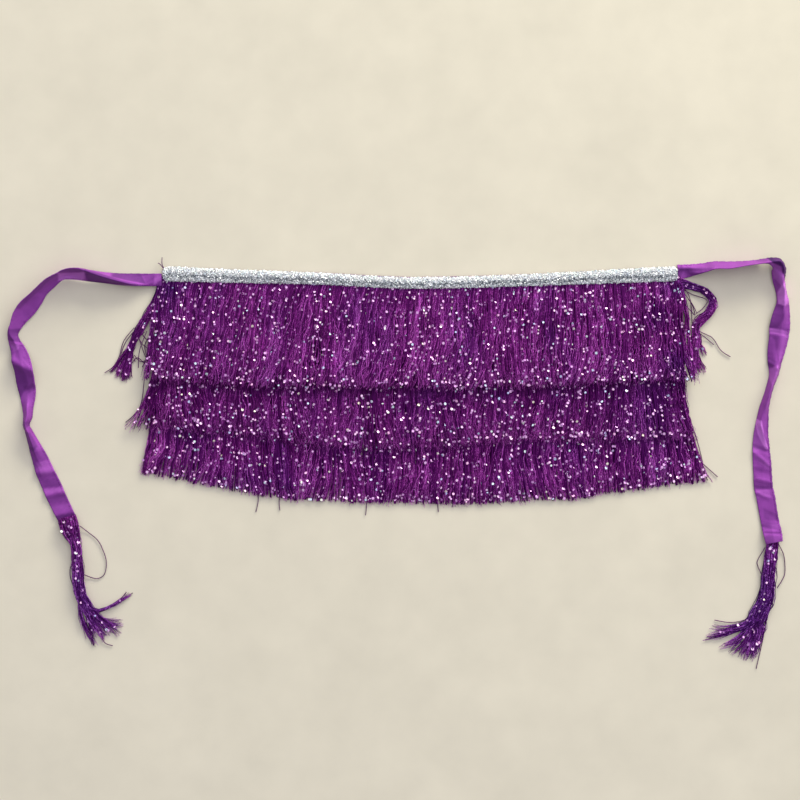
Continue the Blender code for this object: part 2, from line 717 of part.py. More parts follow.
def tassel_lock(bm, rows, tips, lane, layer, root, heights):
    pitch, thick = heights
    lanes = len(tips)
    points = tassel_lane(rows, tips[lane], lane, lanes)
    last = len(points) - 1
    neck = len(rows) - 1
    sections = [root]
    for i in range(1, last + 1):
        before = points[i - 1]
        after = points[min(i + 1, last)]
        run = (after[0] - before[0], after[1] - before[1])
        length = math.hypot(*run)
        across = (-run[1] / length, run[0] / length)
        share = max(0.0, (i - neck) / (last - neck))
        side = (layer - (TASSEL_LAYERS - 1) / 2) * TASSEL_TIP_SPREAD / MM
        side *= min(1.0, share / TASSEL_SPREAD_BY)
        short = layer * TASSEL_LAYER_SHORTER * share
        x = points[i][0] + across[0] * side - (points[i][0] - points[i - 1][0]) * short
        y = points[i][1] + across[1] * side - (points[i][1] - points[i - 1][1]) * short
        row = rows[min(i, neck)]
        lane_width = row.width / lanes * TASSEL_LANE_FILL
        narrow = min(lane_width, rows[2].width / lanes * TASSEL_LANE_FILL)
        width = lane_width if i <= neck else narrow
        low = row.low + pitch * layer
        if i == last:
            width = TASSEL_TIP_WIDTH / MM
            low = row.low
        place = (x * MM, y * MM)
        sections.append(lock_section(bm, *place, across, width * MM, low * MM, thick * MM))
    join_sections(bm, sections)


def main():
    clear_scene()
    base_cloth()
    tape_low = BASE_THICKNESS + SEAM_GAP
    fringe_tier("fringe_bottom", BASE_BOTTOM_LEFT, BASE_BOTTOM_RIGHT, tape_low)
    fringe_tier("fringe_middle", BASE_BOTTOM_LEFT, BASE_BOTTOM_RIGHT, tape_low)
    top_tape_low = BASE_THICKNESS + TOP_TAPE_GAP
    fringe_tier("fringe_top", TOP_TAPE_LEFT, TOP_TAPE_RIGHT, top_tape_low)
    silver_trim()
    tie("tie_left", TIE_LEFT, -1)
    tie("tie_right", TIE_RIGHT, 1)
    tassel("tassel_left", TASSEL_LEFT, TIPS_LEFT)
    tassel("tassel_right", TASSEL_RIGHT, TIPS_RIGHT)


main()
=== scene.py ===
# %% [markdown]
# # A belly dance hip scarf, laid flat
# A hip scarf is a narrow band of cloth that carries rows of fringe. Dancers tie it round the
# hips, so every step makes the threads swing and the sequins flash. Here it lies on a floor.
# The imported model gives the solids; this script dresses each of them with threads, sequins,
# braid and satin, in the same places and in metres.

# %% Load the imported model
import math
from collections import namedtuple

import bmesh
import bpy
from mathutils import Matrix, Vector


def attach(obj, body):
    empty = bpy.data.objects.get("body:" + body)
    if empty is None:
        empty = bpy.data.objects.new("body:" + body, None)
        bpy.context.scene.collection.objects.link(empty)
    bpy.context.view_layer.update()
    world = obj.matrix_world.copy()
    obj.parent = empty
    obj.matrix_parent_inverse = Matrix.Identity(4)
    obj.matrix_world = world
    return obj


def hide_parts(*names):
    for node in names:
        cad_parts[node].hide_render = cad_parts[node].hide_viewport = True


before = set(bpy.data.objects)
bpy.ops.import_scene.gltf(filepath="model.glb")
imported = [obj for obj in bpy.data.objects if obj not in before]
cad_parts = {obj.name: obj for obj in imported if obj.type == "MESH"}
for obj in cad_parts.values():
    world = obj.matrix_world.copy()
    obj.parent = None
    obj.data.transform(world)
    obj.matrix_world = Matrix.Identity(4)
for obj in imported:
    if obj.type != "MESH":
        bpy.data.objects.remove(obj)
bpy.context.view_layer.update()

MM = 0.001

# %% [markdown]
# ## Writing node trees
# Materials and Geometry Nodes are both trees of nodes joined by links. Small helpers keep
# the script short: each call adds one node, and its inputs are numbers or other nodes'
# outputs. Outputs can be added, multiplied and so on as numbers can.

# %% Values that can be reckoned with
class Value:
    """A node's output. Writing + - * or / after it adds the node that does the sum."""

    def __init__(self, tree, socket):
        self.tree = tree
        self.socket = socket

    def __add__(self, other):
        return self.tree.math("ADD", self, other)

    def __sub__(self, other):
        return self.tree.math("SUBTRACT", self, other)

    def __rsub__(self, other):
        return self.tree.math("SUBTRACT", other, self)

    def __mul__(self, other):
        return self.tree.math("MULTIPLY", self, other)

    def __truediv__(self, other):
        return self.tree.math("DIVIDE", self, other)


print("outputs of nodes can be reckoned with")


# %% A helper for node trees
# For each kind of mixed value: the number of its first input, and of its output.
MIX_SOCKETS = {"FLOAT": (2, 0), "RGBA": (6, 2)}


class Tree:
    """Adds nodes to a tree. An input is a plain value, or another node's output."""

    def __init__(self, tree):
        self.tree = tree

    def feed(self, socket, value):
        if isinstance(value, Value):
            value = value.socket
        if isinstance(value, bpy.types.NodeSocket):
            self.tree.links.new(value, socket)
        else:
            socket.default_value = value

    def node(self, kind, inputs=None, **settings):
        node = self.tree.nodes.new(kind)
        for name, value in settings.items():
            setattr(node, name, value)
        for key, value in (inputs or {}).items():
            self.feed(node.inputs[key], value)
        return node

    def out(self, kind, inputs=None, output=0, **settings):
        """A new node's output, ready to reckon with."""
        return Value(self, self.node(kind, inputs, **settings).outputs[output])

    def math(self, operation, *values):
        return self.out("ShaderNodeMath", dict(enumerate(values)), operation=operation)

    def clamp(self, value, low=0.0, high=1.0):
        return self.math("MINIMUM", self.math("MAXIMUM", value, low), high)

    def vector(self, x, y, z):
        return self.out("ShaderNodeCombineXYZ", {0: x, 1: y, 2: z})

    def parts(self, vector):
        """x, y and z of a vector."""
        outputs = self.node("ShaderNodeSeparateXYZ", {0: vector}).outputs
        return [Value(self, socket) for socket in outputs]

    def noise(self, place, scale, detail):
        inputs = {"Vector": place, "Scale": scale, "Detail": detail}
        return self.out("ShaderNodeTexNoise", inputs, "Fac")

    def mix(self, share, one, other, kind="FLOAT"):
        first, output = MIX_SOCKETS[kind]
        inputs = {0: share, first: one, first + 1: other}
        return self.out("ShaderNodeMix", inputs, output, data_type=kind)

    def attribute(self, name):
        """What a material reads from its mesh."""
        return self.out("ShaderNodeAttribute", output="Fac", attribute_name=name)

    def ramp(self, value, stops):
        """stops is a list of (place, colour)."""
        node = self.node("ShaderNodeValToRGB", {0: value})
        elements = node.color_ramp.elements
        while len(elements) < len(stops):
            elements.new(1.0)
        for element, (place, colour) in zip(elements, stops):
            element.position = place
            element.color = (*colour, 1.0)
        return node.outputs[0]


# %% New materials and node groups
def material(name, **sockets):
    """A new material with one Principled shader, and the helper that writes its nodes."""
    made = bpy.data.materials.new(name)
    made.use_nodes = True
    shader = made.node_tree.nodes["Principled BSDF"]
    for key, value in sockets.items():
        shader.inputs[key.replace("_", " ")].default_value = value
    return made, Tree(made.node_tree), shader


def node_group(name, kind, inputs, outputs):
    """A new node group with named sockets, the helper that writes it, and both its ends."""
    group = bpy.data.node_groups.new(name, kind)
    for way, sockets in (("INPUT", inputs), ("OUTPUT", outputs)):
        for label, socket in sockets.items():
            group.interface.new_socket(label, in_out=way, socket_type="NodeSocket" + socket)
    tree = Tree(group)
    take = {socket.name: Value(tree, socket) for socket in tree.node("NodeGroupInput").outputs}
    return group, tree, take, tree.node("NodeGroupOutput").inputs


print("helpers for node trees ready")

# %% [markdown]
# ## Camera, floor and light
# The scarf is seen from straight above, so a camera with no turn is enough: it looks down -Z
# with +Y at the top of the picture. It stands high, which keeps things at the edge of the
# view from leaning outwards. A wide lamp stands low beyond the waist edge, like a window. Its
# light rakes across the scarf and throws long soft shadows towards the fringe tips.

# %% Camera
VIEW_CENTRE = (0.001, 0.080)
VIEW_WIDTH = 1.0
CAMERA_HEIGHT = 2.6
SENSOR_WIDTH = 36.0


def add_camera():
    lens = bpy.data.cameras.new("camera")
    lens.sensor_width = SENSOR_WIDTH
    lens.lens = SENSOR_WIDTH * CAMERA_HEIGHT / VIEW_WIDTH
    camera = bpy.data.objects.new("camera", lens)
    camera.location = (*VIEW_CENTRE, CAMERA_HEIGHT)
    bpy.context.scene.collection.objects.link(camera)
    bpy.context.scene.camera = camera


add_camera()
bpy.context.scene.view_settings.view_transform = "Standard"
print("camera", CAMERA_HEIGHT, "m above the floor")

# %% Lights
LAMP_OFFSET = (1.75, 3.5, 1.2)
LAMP_SIZE = (3.0, 1.0)
LAMP_POWER = 176.0
LAMP_COLOUR = (1.05, 1.025, 0.86)
SKY_COLOUR = (0.96, 0.95, 1.03)
SKY_DIM_SIDE = 0.08
SKY_BRIGHT_SIDE = 1.43
SKY_TOWARDS = (0.49, 0.87, 0.0)


def add_lamp():
    lamp = bpy.data.lights.new("window lamp", "AREA")
    lamp.shape = "RECTANGLE"
    lamp.size, lamp.size_y = LAMP_SIZE
    lamp.energy = LAMP_POWER
    lamp.color = LAMP_COLOUR
    holder = bpy.data.objects.new("window lamp", lamp)
    aim = -Vector(LAMP_OFFSET)
    holder.location = Vector((*VIEW_CENTRE, 0.0)) - aim
    holder.rotation_euler = aim.to_track_quat("-Z", "Y").to_euler()
    bpy.context.scene.collection.objects.link(holder)


def add_sky():
    sky = bpy.data.worlds.new("soft room light")
    sky.use_nodes = True
    tree = Tree(sky.node_tree)
    background = sky.node_tree.nodes["Background"].inputs
    tree.feed(background["Color"], (*SKY_COLOUR, 1.0))
    direction = tree.out("ShaderNodeTexCoord", output="Generated")
    inputs = {0: direction, 1: SKY_TOWARDS}
    towards = tree.out("ShaderNodeVectorMath", inputs, "Value", operation="DOT_PRODUCT")
    inputs = {"Value": towards, "From Min": -1.0, "From Max": 1.0}
    inputs |= {"To Min": SKY_DIM_SIDE, "To Max": SKY_BRIGHT_SIDE}
    tree.feed(background["Strength"], tree.out("ShaderNodeMapRange", inputs))
    bpy.context.scene.world = sky


add_lamp()
add_sky()
print("one soft lamp, and room light that dims away from it")

# %% [markdown]
# ## Floor
# The floor only has to be plain and pale. It is a stage, not a part of the scarf.

# %% Floor
FLOOR_COLOUR = (0.735, 0.690, 0.560)
FLOOR_SHADES = (0.950, 1.050)
# Scale and detail of the wide and the small clouds in its mottling.
FLOOR_CLOUDS = ((9.0, 2.0), (30.0, 3.0))
SMALL_CLOUDS_SHARE = 0.4
# Noise lies mostly between these two values, so colours change from one to the other.
NOISE_SPAN = (0.3, 0.7)
FLOOR_SIZE = 12.0
FLOOR_BELOW = 0.0002


def add_floor():
    paint, tree, shader = material("pale floor", Roughness=0.7, Specular_IOR_Level=0.15)
    place = tree.out("ShaderNodeTexCoord", output="Object")
    clouds = [tree.noise(place, *cloud) for cloud in FLOOR_CLOUDS]
    cloud = tree.mix(SMALL_CLOUDS_SHARE, *clouds)
    shades = [[part * share for part in FLOOR_COLOUR] for share in FLOOR_SHADES]
    tree.feed(shader.inputs["Base Color"], tree.ramp(cloud, list(zip(NOISE_SPAN, shades))))
    half = FLOOR_SIZE / 2
    corners = [(-half, -half), (half, -half), (half, half), (-half, half)]
    mesh = bpy.data.meshes.new("floor")
    mesh.from_pydata([(x, y, -FLOOR_BELOW) for x, y in corners], [], [(0, 1, 2, 3)])
    mesh.materials.append(paint)
    floor = bpy.data.objects.new("floor", mesh)
    bpy.context.scene.collection.objects.link(floor)


add_floor()
print("floor", FLOOR_SIZE, "m wide")

# %% [markdown]
# ## Shared finishes
# Two effects turn up on many pieces. Fringe threads, tassel threads and loose ends are all
# the same twisted yarn, so one node group draws its colour from dark to light and the slant
# of its ply. Base cloth, tapes and satin are woven, so another group draws warp and weft.

# %% The yarn group
# Dark, dim, middle and light, and where they lie on the scale of shades.
TONE_PLACES = (0.0, 0.35, 0.65, 1.0)
YARN_TONES = (
    (0.054, 0.001, 0.068), (0.166, 0.014, 0.177), (0.335, 0.036, 0.342), (0.700, 0.150, 0.720),
)
VIOLET_TONES = (
    (0.030, 0.002, 0.076), (0.090, 0.016, 0.190), (0.200, 0.045, 0.390), (0.520, 0.210, 0.760),
)
FLECK_LENGTH = 0.0027
# Yarn of another shade takes its flecks from another place of the noise.
FLECKS_APART = 57.0
FLECK_DEPTH = 2.35
PLY_LENGTH = 0.0016
# Flecks are fainter on yarn darker than this, or the painted shade under each hem would glitter.
FLECKED_FROM = 1 / 2.2
# The darkest yarn's roughness, and how it changes up to the lightest.
DARK_ROUGHNESS = 0.46
ROUGHNESS_CHANGE = -0.12
YARN_INPUTS = ("Shade", "Blueness", "Along", "Around")


def yarn_group():
    """Colour and ply of a twisted yarn. Shade goes from 0, dark, to 1, light."""
    outputs = {"Color": "Color", "Height": "Float", "Roughness": "Float"}
    inputs = dict.fromkeys(YARN_INPUTS, "Float")
    group, tree, take, give = node_group("twisted yarn", "ShaderNodeTree", inputs, outputs)
    own = take["Shade"] * FLECKS_APART
    fleck = tree.noise(tree.vector(take["Along"] / FLECK_LENGTH, own, 0.0), 1.0, 1.0) - 0.5
    depth = tree.math("MINIMUM", take["Shade"] * (FLECK_DEPTH / FLECKED_FROM), FLECK_DEPTH)
    shade = fleck * depth + take["Shade"]
    colours = []
    for tones in (YARN_TONES, VIOLET_TONES):
        colours.append(tree.ramp(shade, list(zip(TONE_PLACES, tones))))
    turns = take["Along"] / PLY_LENGTH + take["Around"]
    tree.feed(give["Color"], tree.mix(take["Blueness"], *colours, "RGBA"))
    tree.feed(give["Height"], tree.math("SINE", turns * math.tau))
    tree.feed(give["Roughness"], take["Shade"] * ROUGHNESS_CHANGE + DARK_ROUGHNESS)
    return group


YARN_GROUP = yarn_group()
print("group", YARN_GROUP.name)

# %% The weave group
# Scale and detail of its uneven dye.
DYE_NOISE = (60.0, 2.0)


def weave_group():
    """Warp and weft of a plain weave on a piece's own UV map, which is in metres."""
    outputs = {"Height": "Float", "Tint": "Float"}
    inputs = {"Thread pitch": "Float"}
    group, tree, take, give = node_group("plain weave", "ShaderNodeTree", inputs, outputs)
    x, y, _ = tree.parts(tree.out("ShaderNodeUVMap", uv_map="cloth"))
    warp, weft = [tree.math("SINE", part / take["Thread pitch"] * math.pi) for part in (x, y)]
    tree.feed(give["Height"], warp * weft)
    place = tree.out("ShaderNodeTexCoord", output="Object")
    tree.feed(give["Tint"], tree.noise(place, *DYE_NOISE))
    return group


WEAVE_GROUP = weave_group()
print("group", WEAVE_GROUP.name)

# %% Materials that read the groups
# For the yarn's ply and for cloth: the strength of its bump, and its height in metres.
PLY_BUMP = (0.4, 0.0001)
WEAVE_BUMP = (0.35, 0.00008)
VIOLET_GLEAM = (0.9, 0.2, 1.0, 1.0)
TINT_ROUGHNESS = 0.2


def bump(tree, shader, height, strength, distance):
    inputs = {"Height": height, "Strength": strength, "Distance": distance}
    tree.feed(shader.inputs["Normal"], tree.out("ShaderNodeBump", inputs))


def yarn_material(name):
    made, tree, shader = material(name, Specular_IOR_Level=0.26, Specular_Tint=VIOLET_GLEAM)
    group = tree.node("ShaderNodeGroup", node_tree=YARN_GROUP)
    for label in YARN_INPUTS:
        tree.feed(group.inputs[label], tree.attribute(label.lower()))
    tree.feed(shader.inputs["Base Color"], group.outputs["Color"])
    tree.feed(shader.inputs["Roughness"], group.outputs["Roughness"])
    bump(tree, shader, group.outputs["Height"], *PLY_BUMP)
    return made


def tinted_material(name, stops, smoothest, **sockets):
    """Small bright pieces side by side: each has its own tint, which sets its gloss too."""
    made, tree, shader = material(name, **sockets)
    tint = tree.attribute("tint")
    tree.feed(shader.inputs["Base Color"], tree.ramp(tint, stops))
    tree.feed(shader.inputs["Roughness"], tint * TINT_ROUGHNESS + smoothest)
    return made


print("makers of materials ready")

# %% Cloth with a painted sheen
# The colours a painted sheen mixes in: a painted highlight, and painted shade.
PAINTED_HIGHLIGHT = (0.580, 0.180, 0.670, 1.0)
PAINTED_SHADE = (0.040, 0.006, 0.090, 1.0)


def cloth_material(name, colour, light, pitch, **sockets):
    """Woven cloth. Where a mesh has a painted sheen, above 0 is a highlight and below 0 shade."""
    made, tree, shader = material(name, **sockets)
    weave = tree.node("ShaderNodeGroup", {"Thread pitch": pitch}, node_tree=WEAVE_GROUP)
    shown = tree.ramp(weave.outputs["Tint"], list(zip(NOISE_SPAN, (colour, light))))
    sheen = tree.attribute("sheen")
    shown = tree.mix(tree.math("MAXIMUM", sheen, 0.0), shown, PAINTED_HIGHLIGHT, "RGBA")
    painted_shade_share = tree.math("MAXIMUM", sheen * -1.0, 0.0)
    tree.feed(shader.inputs["Base Color"], tree.mix(painted_shade_share, shown, PAINTED_SHADE, "RGBA"))
    bump(tree, shader, weave.outputs["Height"], *WEAVE_BUMP)
    return made


print("cloth with a sheen ready")

# %% Yarn, sequin, satin and braid
SEQUIN_STOPS = [
    (0.00, (0.36, 0.12, 0.42)),
    (0.22, (0.62, 0.30, 0.68)),
    (0.45, (0.90, 0.47, 0.93)),
    (0.68, (1.00, 0.66, 1.00)),
    (0.83, (1.00, 0.50, 0.86)),
    (0.90, (0.56, 0.64, 0.98)),
    (0.95, (0.74, 0.88, 0.96)),
    (1.00, (1.00, 0.86, 0.70)),
]
FLAKE_STOPS = [
    (0.00, (0.09, 0.11, 0.13)),
    (0.23, (0.16, 0.19, 0.22)),
    (0.34, (0.84, 0.88, 0.92)),
    (0.55, (1.00, 1.00, 1.00)),
    (0.70, (0.74, 0.82, 0.92)),
    (0.78, (0.78, 0.92, 0.84)),
    (0.86, (1.00, 1.00, 1.00)),
    (1.00, (1.00, 0.98, 0.95)),
]
YARN = yarn_material("purple yarn")
SEQUIN = tinted_material(
    "pearly sequin", SEQUIN_STOPS, 0.22, Metallic=0.20, Coat_Weight=0.35, Coat_Roughness=0.15,
)
FLAKE = tinted_material("silver foil flake", FLAKE_STOPS, 0.16, Metallic=0.14)
SATIN = cloth_material(
    "purple satin", (0.250, 0.048, 0.325), (0.300, 0.060, 0.380), 0.00022,
    Roughness=0.55, Metallic=0.28, Specular_IOR_Level=0.40, Specular_Tint=(0.95, 0.55, 1.0, 1.0),
)
BASE_CLOTH = cloth_material(
    "purple base cloth", (0.110, 0.020, 0.140), (0.150, 0.030, 0.190), 0.0006, Roughness=0.9,
)
BRAID_TAPE = cloth_material(
    "grey braid tape", (0.30, 0.31, 0.33), (0.45, 0.46, 0.48), 0.0008, Roughness=0.5, Metallic=0.4,
)
print("materials", sorted(item.name for item in bpy.data.materials if item.users))

# %% [markdown]
# ## The plan of the scarf
# The same short tables that shape the solids shape the looks, so the two agree: where the
# waist runs, how far each tier hangs, how its ends fan out and how thick the pile of threads
# is. Between two rows, a smooth curve gives the numbers.

# %% Smooth rows
def blend(before, start, end, after, share):
    """A smooth curve's value between start and end, with its neighbours on both sides."""
    lean_start = (end - before) / 2
    lean_end = (after - start) / 2
    square = share * share
    cube = square * share
    return (
        (2 * cube - 3 * square + 1) * start
        + (cube - 2 * square + share) * lean_start
        + (3 * square - 2 * cube) * end
        + (cube - square) * lean_end
    )


def row_at(rows, place):
    """The rows' numbers at a place counted in rows."""
    last = len(rows) - 1
    index = min(int(place), last - 1)
    near = [rows[min(max(index + step, 0), last)] for step in (-1, 0, 1, 2)]
    return type(rows[0])(*[blend(*column, place - index) for column in zip(*near)])


def row_at_x(rows, x):
    """The rows' numbers at x metres along the waist. The rows are in order of x."""
    x_mm = min(max(x / MM, rows[0].x), rows[-1].x)
    index = 0
    while index < len(rows) - 2 and rows[index + 1].x < x_mm:
        index += 1
    share = (x_mm - rows[index].x) / (rows[index + 1].x - rows[index].x)
    return row_at(rows, index + share)


def table(kind, rows):
    """Rows of numbers with named columns, or a table for each name in a dictionary."""
    if isinstance(rows, dict):
        return {name: table(kind, part) for name, part in rows.items()}
    return [kind(*row) for row in rows]


print("smooth rows ready")

# %% Tables of the band, in millimetres
WaistRow = namedtuple("WaistRow", "x y width")
WAIST = table(WaistRow, [
    (-295, 239, 20.2), (-199, 236, 18), (-99, 233, 16.2), (1, 228, 15.6), (51, 228, 15.6),
    (126, 230, 16), (251, 235, 18.2), (347, 239, 20.1),
])
DropRow = namedtuple("DropRow", "x top middle bottom")
DROPS = table(DropRow, [
    (-311, 134, 195, 252), (-249, 138, 201, 265), (-186, 140, 203, 274), (-140, 140, 208, 280),
    (-99, 139, 212, 282), (1, 135, 212, 278), (76, 136, 207, 280), (164, 138, 204, 279),
    (214, 138, 206, 280), (251, 137, 208, 274), (314, 137, 210, 268), (376, 138, 208, 260),
])
FanRow = namedtuple("FanRow", "left left_fade left_onset right right_fade right_onset")
FANS = {
    "fringe_top": FanRow(12, 45, 0.7, 18, 44, 0.7),
    "fringe_middle": FanRow(42, 13, 2.6, 14, 60, 2.6),
    "fringe_bottom": FanRow(20, 24, 1.0, 34, 60, 1.7),
}
# Height of the pile along a strand: where along it, its lowest point and its depth.
PileRow = namedtuple("PileRow", "share low depth")
PILES = table(PileRow, {
    "fringe_top": [
        (0, 1.9, 1.2), (0.12, 2.2, 2.6), (0.45, 4, 3.6), (0.8, 6.4, 4.2), (1, 7.6, 3.4),
    ],
    "fringe_middle": [
        (0, 1.6, 1.2), (0.12, 1.8, 2.2), (0.45, 2.6, 2.8), (0.8, 3.6, 3.4), (1, 4.2, 2.8),
    ],
    "fringe_bottom": [
        (0, 1.6, 1.2), (0.12, 1, 2.2), (0.45, 0.6, 3), (0.8, 0.6, 3.2), (1, 0.5, 1.8),
    ],
})
TAPE_ENDS = {
    "fringe_top": (-0.2990, 0.3515),
    "fringe_middle": (-0.3040, 0.3560),
    "fringe_bottom": (-0.3040, 0.3560),
}
STRAND_LENGTH = 0.128
TOP_ROOT_DROP = 0.004


def waist_y(x):
    return row_at_x(WAIST, x).y * MM


def strand_tip_y(name, x):
    return waist_y(x) - getattr(row_at_x(DROPS, x), name.split("_")[1]) * MM


def strand_root_y(name, x):
    if name == "fringe_top":
        return waist_y(x) - TOP_ROOT_DROP
    return strand_tip_y(name, x) + STRAND_LENGTH


BAND_LENGTH = TAPE_ENDS["fringe_top"][1] - TAPE_ENDS["fringe_top"][0]
print("band", round(BAND_LENGTH, 3), "m along the waist")

# %% [markdown]
# ## Threads that follow a guide
# Real fringe is thousands of threads, and modelling each by hand is hopeless. Instead a
# hidden guide surface says where a thread's root and tip lie, and how deep the pile is. A
# Geometry Nodes tree copies one line for every thread, slides it across the guide to its own
# place, bunches neighbours into locks, gives each its own waver and length, and then skins it
# with three sides. Three are enough for a thread less than a millimetre wide.

# %% Guide surfaces
# Soft patches where threads look lighter, darker or bluer, in millimetres. Some are the yarn's
# own tone. The narrow bright ones are painted highlights on strands that catch the light, and
# some dark ones near the braid are painted shade.
PatchRow = namedtuple("PatchRow", "x y wide tall shade blueness")
PATCHES = table(PatchRow, [
    (-270, 218, 30, 9, -0.3, 0.15), (-290, 218, 20, 16, -0.3, 0.6), (-262, 178, 26, 22, 0.1, 0),
    (-185, 150, 40, 30, 0.14, 0), (22, 186, 7, 26, 0.35, 0), (-78, 125, 7, 16, 0.3, 0),
    (-240, 150, 60, 60, -0.1, 0), (60, 150, 190, 60, 0.07, 0), (320, 180, 15, 18, -0.4, 0.45),
    (345, 124, 16, 14, -0.25, 0.7), (188, 155, 6, 16, -0.25, 0.55),
    (310, 50, 50, 55, -0.08, 0.25), (384, 212, 16, 18, -0.12, 0.5), (352, 222, 24, 9, -0.22, 0.9),
    (-385, -160, 60, 80, 0, 0.75), (440, -170, 70, 80, -0.02, 0.9), (-325, 76, 14, 20, -0.2, 0.2),
    (359, -5, 4, 18, 0.45, 0), (376, 2, 3, 12, 0.4, 0), (-129, -20, 2, 18, 0.4, 0),
    (-185, -26, 60, 8, -0.05, 0.4), (-330, 160, 25, 50, -0.12, 0.25),
    (250, 60, 40, 20, -0.1, 0.1), (-250, 40, 40, 16, -0.08, 0.1), (-280, 113, 34, 9, -0.14, 0),
    (-308, 14, 16, 22, 0.14, 0),
])


def patch_at(x, y):
    """How much lighter and how much bluer threads are at a point in metres."""
    shade = 0.0
    blueness = 0.0
    for row in PATCHES:
        offset = ((x / MM - row.x) / row.wide) ** 2 + ((y / MM - row.y) / row.tall) ** 2
        share = math.exp(-offset)
        shade += row.shade * share
        blueness += row.blueness * share
    return shade, blueness


# Painted shade under the hem of each row above: how dark it is, and how fast it fades.
HEM_SHADES = {"fringe_top": 1.05, "fringe_middle": 0.45}
HEM_FADE = 0.0135


def hem_shade(above, x, y):
    """Painted shade for threads just below the hem above: little light gets in there."""
    if above is None:
        return 0.0
    below = max(strand_tip_y(above, x) - y, 0.0)
    return HEM_SHADES[above] * math.exp(-((below / HEM_FADE) ** 2))


print("soft patches", len(PATCHES))


# %% A guide surface
def keep(mesh, name, values):
    """Store one number for each vertex under a name."""
    mesh.attributes.new(name, "FLOAT", "POINT").data.foreach_set("value", values)


def guide_surface(name, sheets, above=None):
    """A mesh of sheets side by side in its UV map: u runs across, v from root to tip.

    A sheet is a list of lines from root to tip, and a point on a line is (x, y, low, depth).
    """
    points = []
    faces = []
    uvs = []
    for number, lines in enumerate(sheets):
        first = len(points)
        wide = len(lines)
        tall = len(lines[0])
        for line in lines:
            points.extend(line)
        for i in range(wide - 1):
            for j in range(tall - 1):
                corners = ((i, j), (i, j + 1), (i + 1, j + 1), (i + 1, j))
                faces.append([first + a * tall + b for a, b in corners])
                for a, b in corners:
                    uvs.append(((number + a / (wide - 1)) / len(sheets), b / (tall - 1)))
    mesh = bpy.data.meshes.new(name)
    mesh.from_pydata([point[:3] for point in points], [], faces)
    layer = mesh.uv_layers.new(name="guide")
    layer.data.foreach_set("uv", [value for uv in uvs for value in uv])
    patches = [patch_at(*point[:2]) for point in points]
    hems = [hem_shade(above, *point[:2]) for point in points]
    keep(mesh, "depth", [point[3] for point in points])
    # The soft patches, less the painted shade under the hem of the row above.
    keep(mesh, "tone_and_painted_shade", [shade - hem for (shade, _), hem in zip(patches, hems)])
    keep(mesh, "blue", [blueness for _, blueness in patches])
    return mesh


# %% Helpers for trees that grow pieces
GUIDE_MARGIN = 0.0002


def geometry_tree(name, inputs):
    """A new Geometry Nodes tree with named inputs, its helper, and both its ends."""
    both = {"Geometry": "Geometry"}
    return node_group(name, "GeometryNodeTree", {**both, **inputs}, both)


def finish_tree(tree, give, geometry, paint):
    """Every tree ends alike: instances made real, a material set, and the result put out."""
    real = tree.out("GeometryNodeRealizeInstances", {0: geometry})
    painted = tree.out("GeometryNodeSetMaterial", {0: real, "Material": paint})
    tree.feed(give["Geometry"], painted)


def drawer(tree, seed, owner):
    """A helper that draws random numbers, each fixed for one thread, lock or disc."""

    def draw(step, low=0.0, high=1.0, owner=owner):
        inputs = {2: low, 3: high, 7: owner, 8: seed + step}
        return tree.out("FunctionNodeRandomValue", inputs, 1, data_type="FLOAT")

    return draw


def stored(tree, geometry, name, value, kind="FLOAT", domain="POINT"):
    inputs = {"Geometry": geometry, "Name": name, "Value": value}
    return tree.out("GeometryNodeStoreNamedAttribute", inputs, data_type=kind, domain=domain)


def read(tree, name, kind="FLOAT"):
    return tree.out("GeometryNodeInputNamedAttribute", {"Name": name}, "Attribute", data_type=kind)


def on_guide(tree, guide, u, v, labels=("depth",)):
    """The guide's position at (u, v), and its pile depth or other labelled values."""
    u = tree.clamp(u, GUIDE_MARGIN, 1.0 - GUIDE_MARGIN)
    v = tree.clamp(v, 0.0, 1.0 - GUIDE_MARGIN)
    place = tree.vector(u, v, 0.0)
    uv = read(tree, "guide", "FLOAT_VECTOR")
    values = [("FLOAT_VECTOR", tree.out("GeometryNodeInputPosition"))]
    values += [("FLOAT", read(tree, label)) for label in labels]
    outputs = []
    for kind, value in values:
        inputs = {0: guide, 1: value, 2: uv, 3: place}
        outputs.append(tree.out("GeometryNodeSampleUVSurface", inputs, data_type=kind))
    return outputs


print("helpers for trees that grow pieces ready")


# %% Yarn along curves
SIDES = 3
# Each way of the map: what fills it and how far, and what spreads it a little and how far.
MAP_WAYS = (("shade", 0.94, "around", 0.02), ("blueness", 0.90, "along", 0.30))
MAP_START = 0.02


def yarn_skin(tree, lines, radius, sides, shade, blueness):
    """Round yarn along curves, with what its material reads and a UV map for baking.

    Across the map yarn gets lighter, and up it bluer, as its colour does.
    """
    length = tree.out("GeometryNodeSplineParameter", output="Length")
    for label, value in {"shade": shade, "blueness": blueness, "along": length}.items():
        lines = stored(tree, lines, label, value)
    profile = tree.out("GeometryNodeCurvePrimitiveCircle", {"Resolution": sides, "Radius": 1.0})
    turn = tree.out("GeometryNodeSplineParameter", output="Factor")
    profile = stored(tree, profile, "around", turn)
    inputs = {0: lines, 1: profile, "Scale": radius, "Fill Caps": True}
    skin = tree.out("GeometryNodeCurveToMesh", inputs)
    skin = tree.out("GeometryNodeSetShadeSmooth", {0: skin})
    u, v = [
        read(tree, main) * fill + MAP_START + read(tree, other) * spread
        for main, fill, other, spread in MAP_WAYS
    ]
    return stored(tree, skin, "OFBake", tree.vector(u, v, 0.0), "FLOAT2", "CORNER")


print("yarn has", SIDES, "sides")


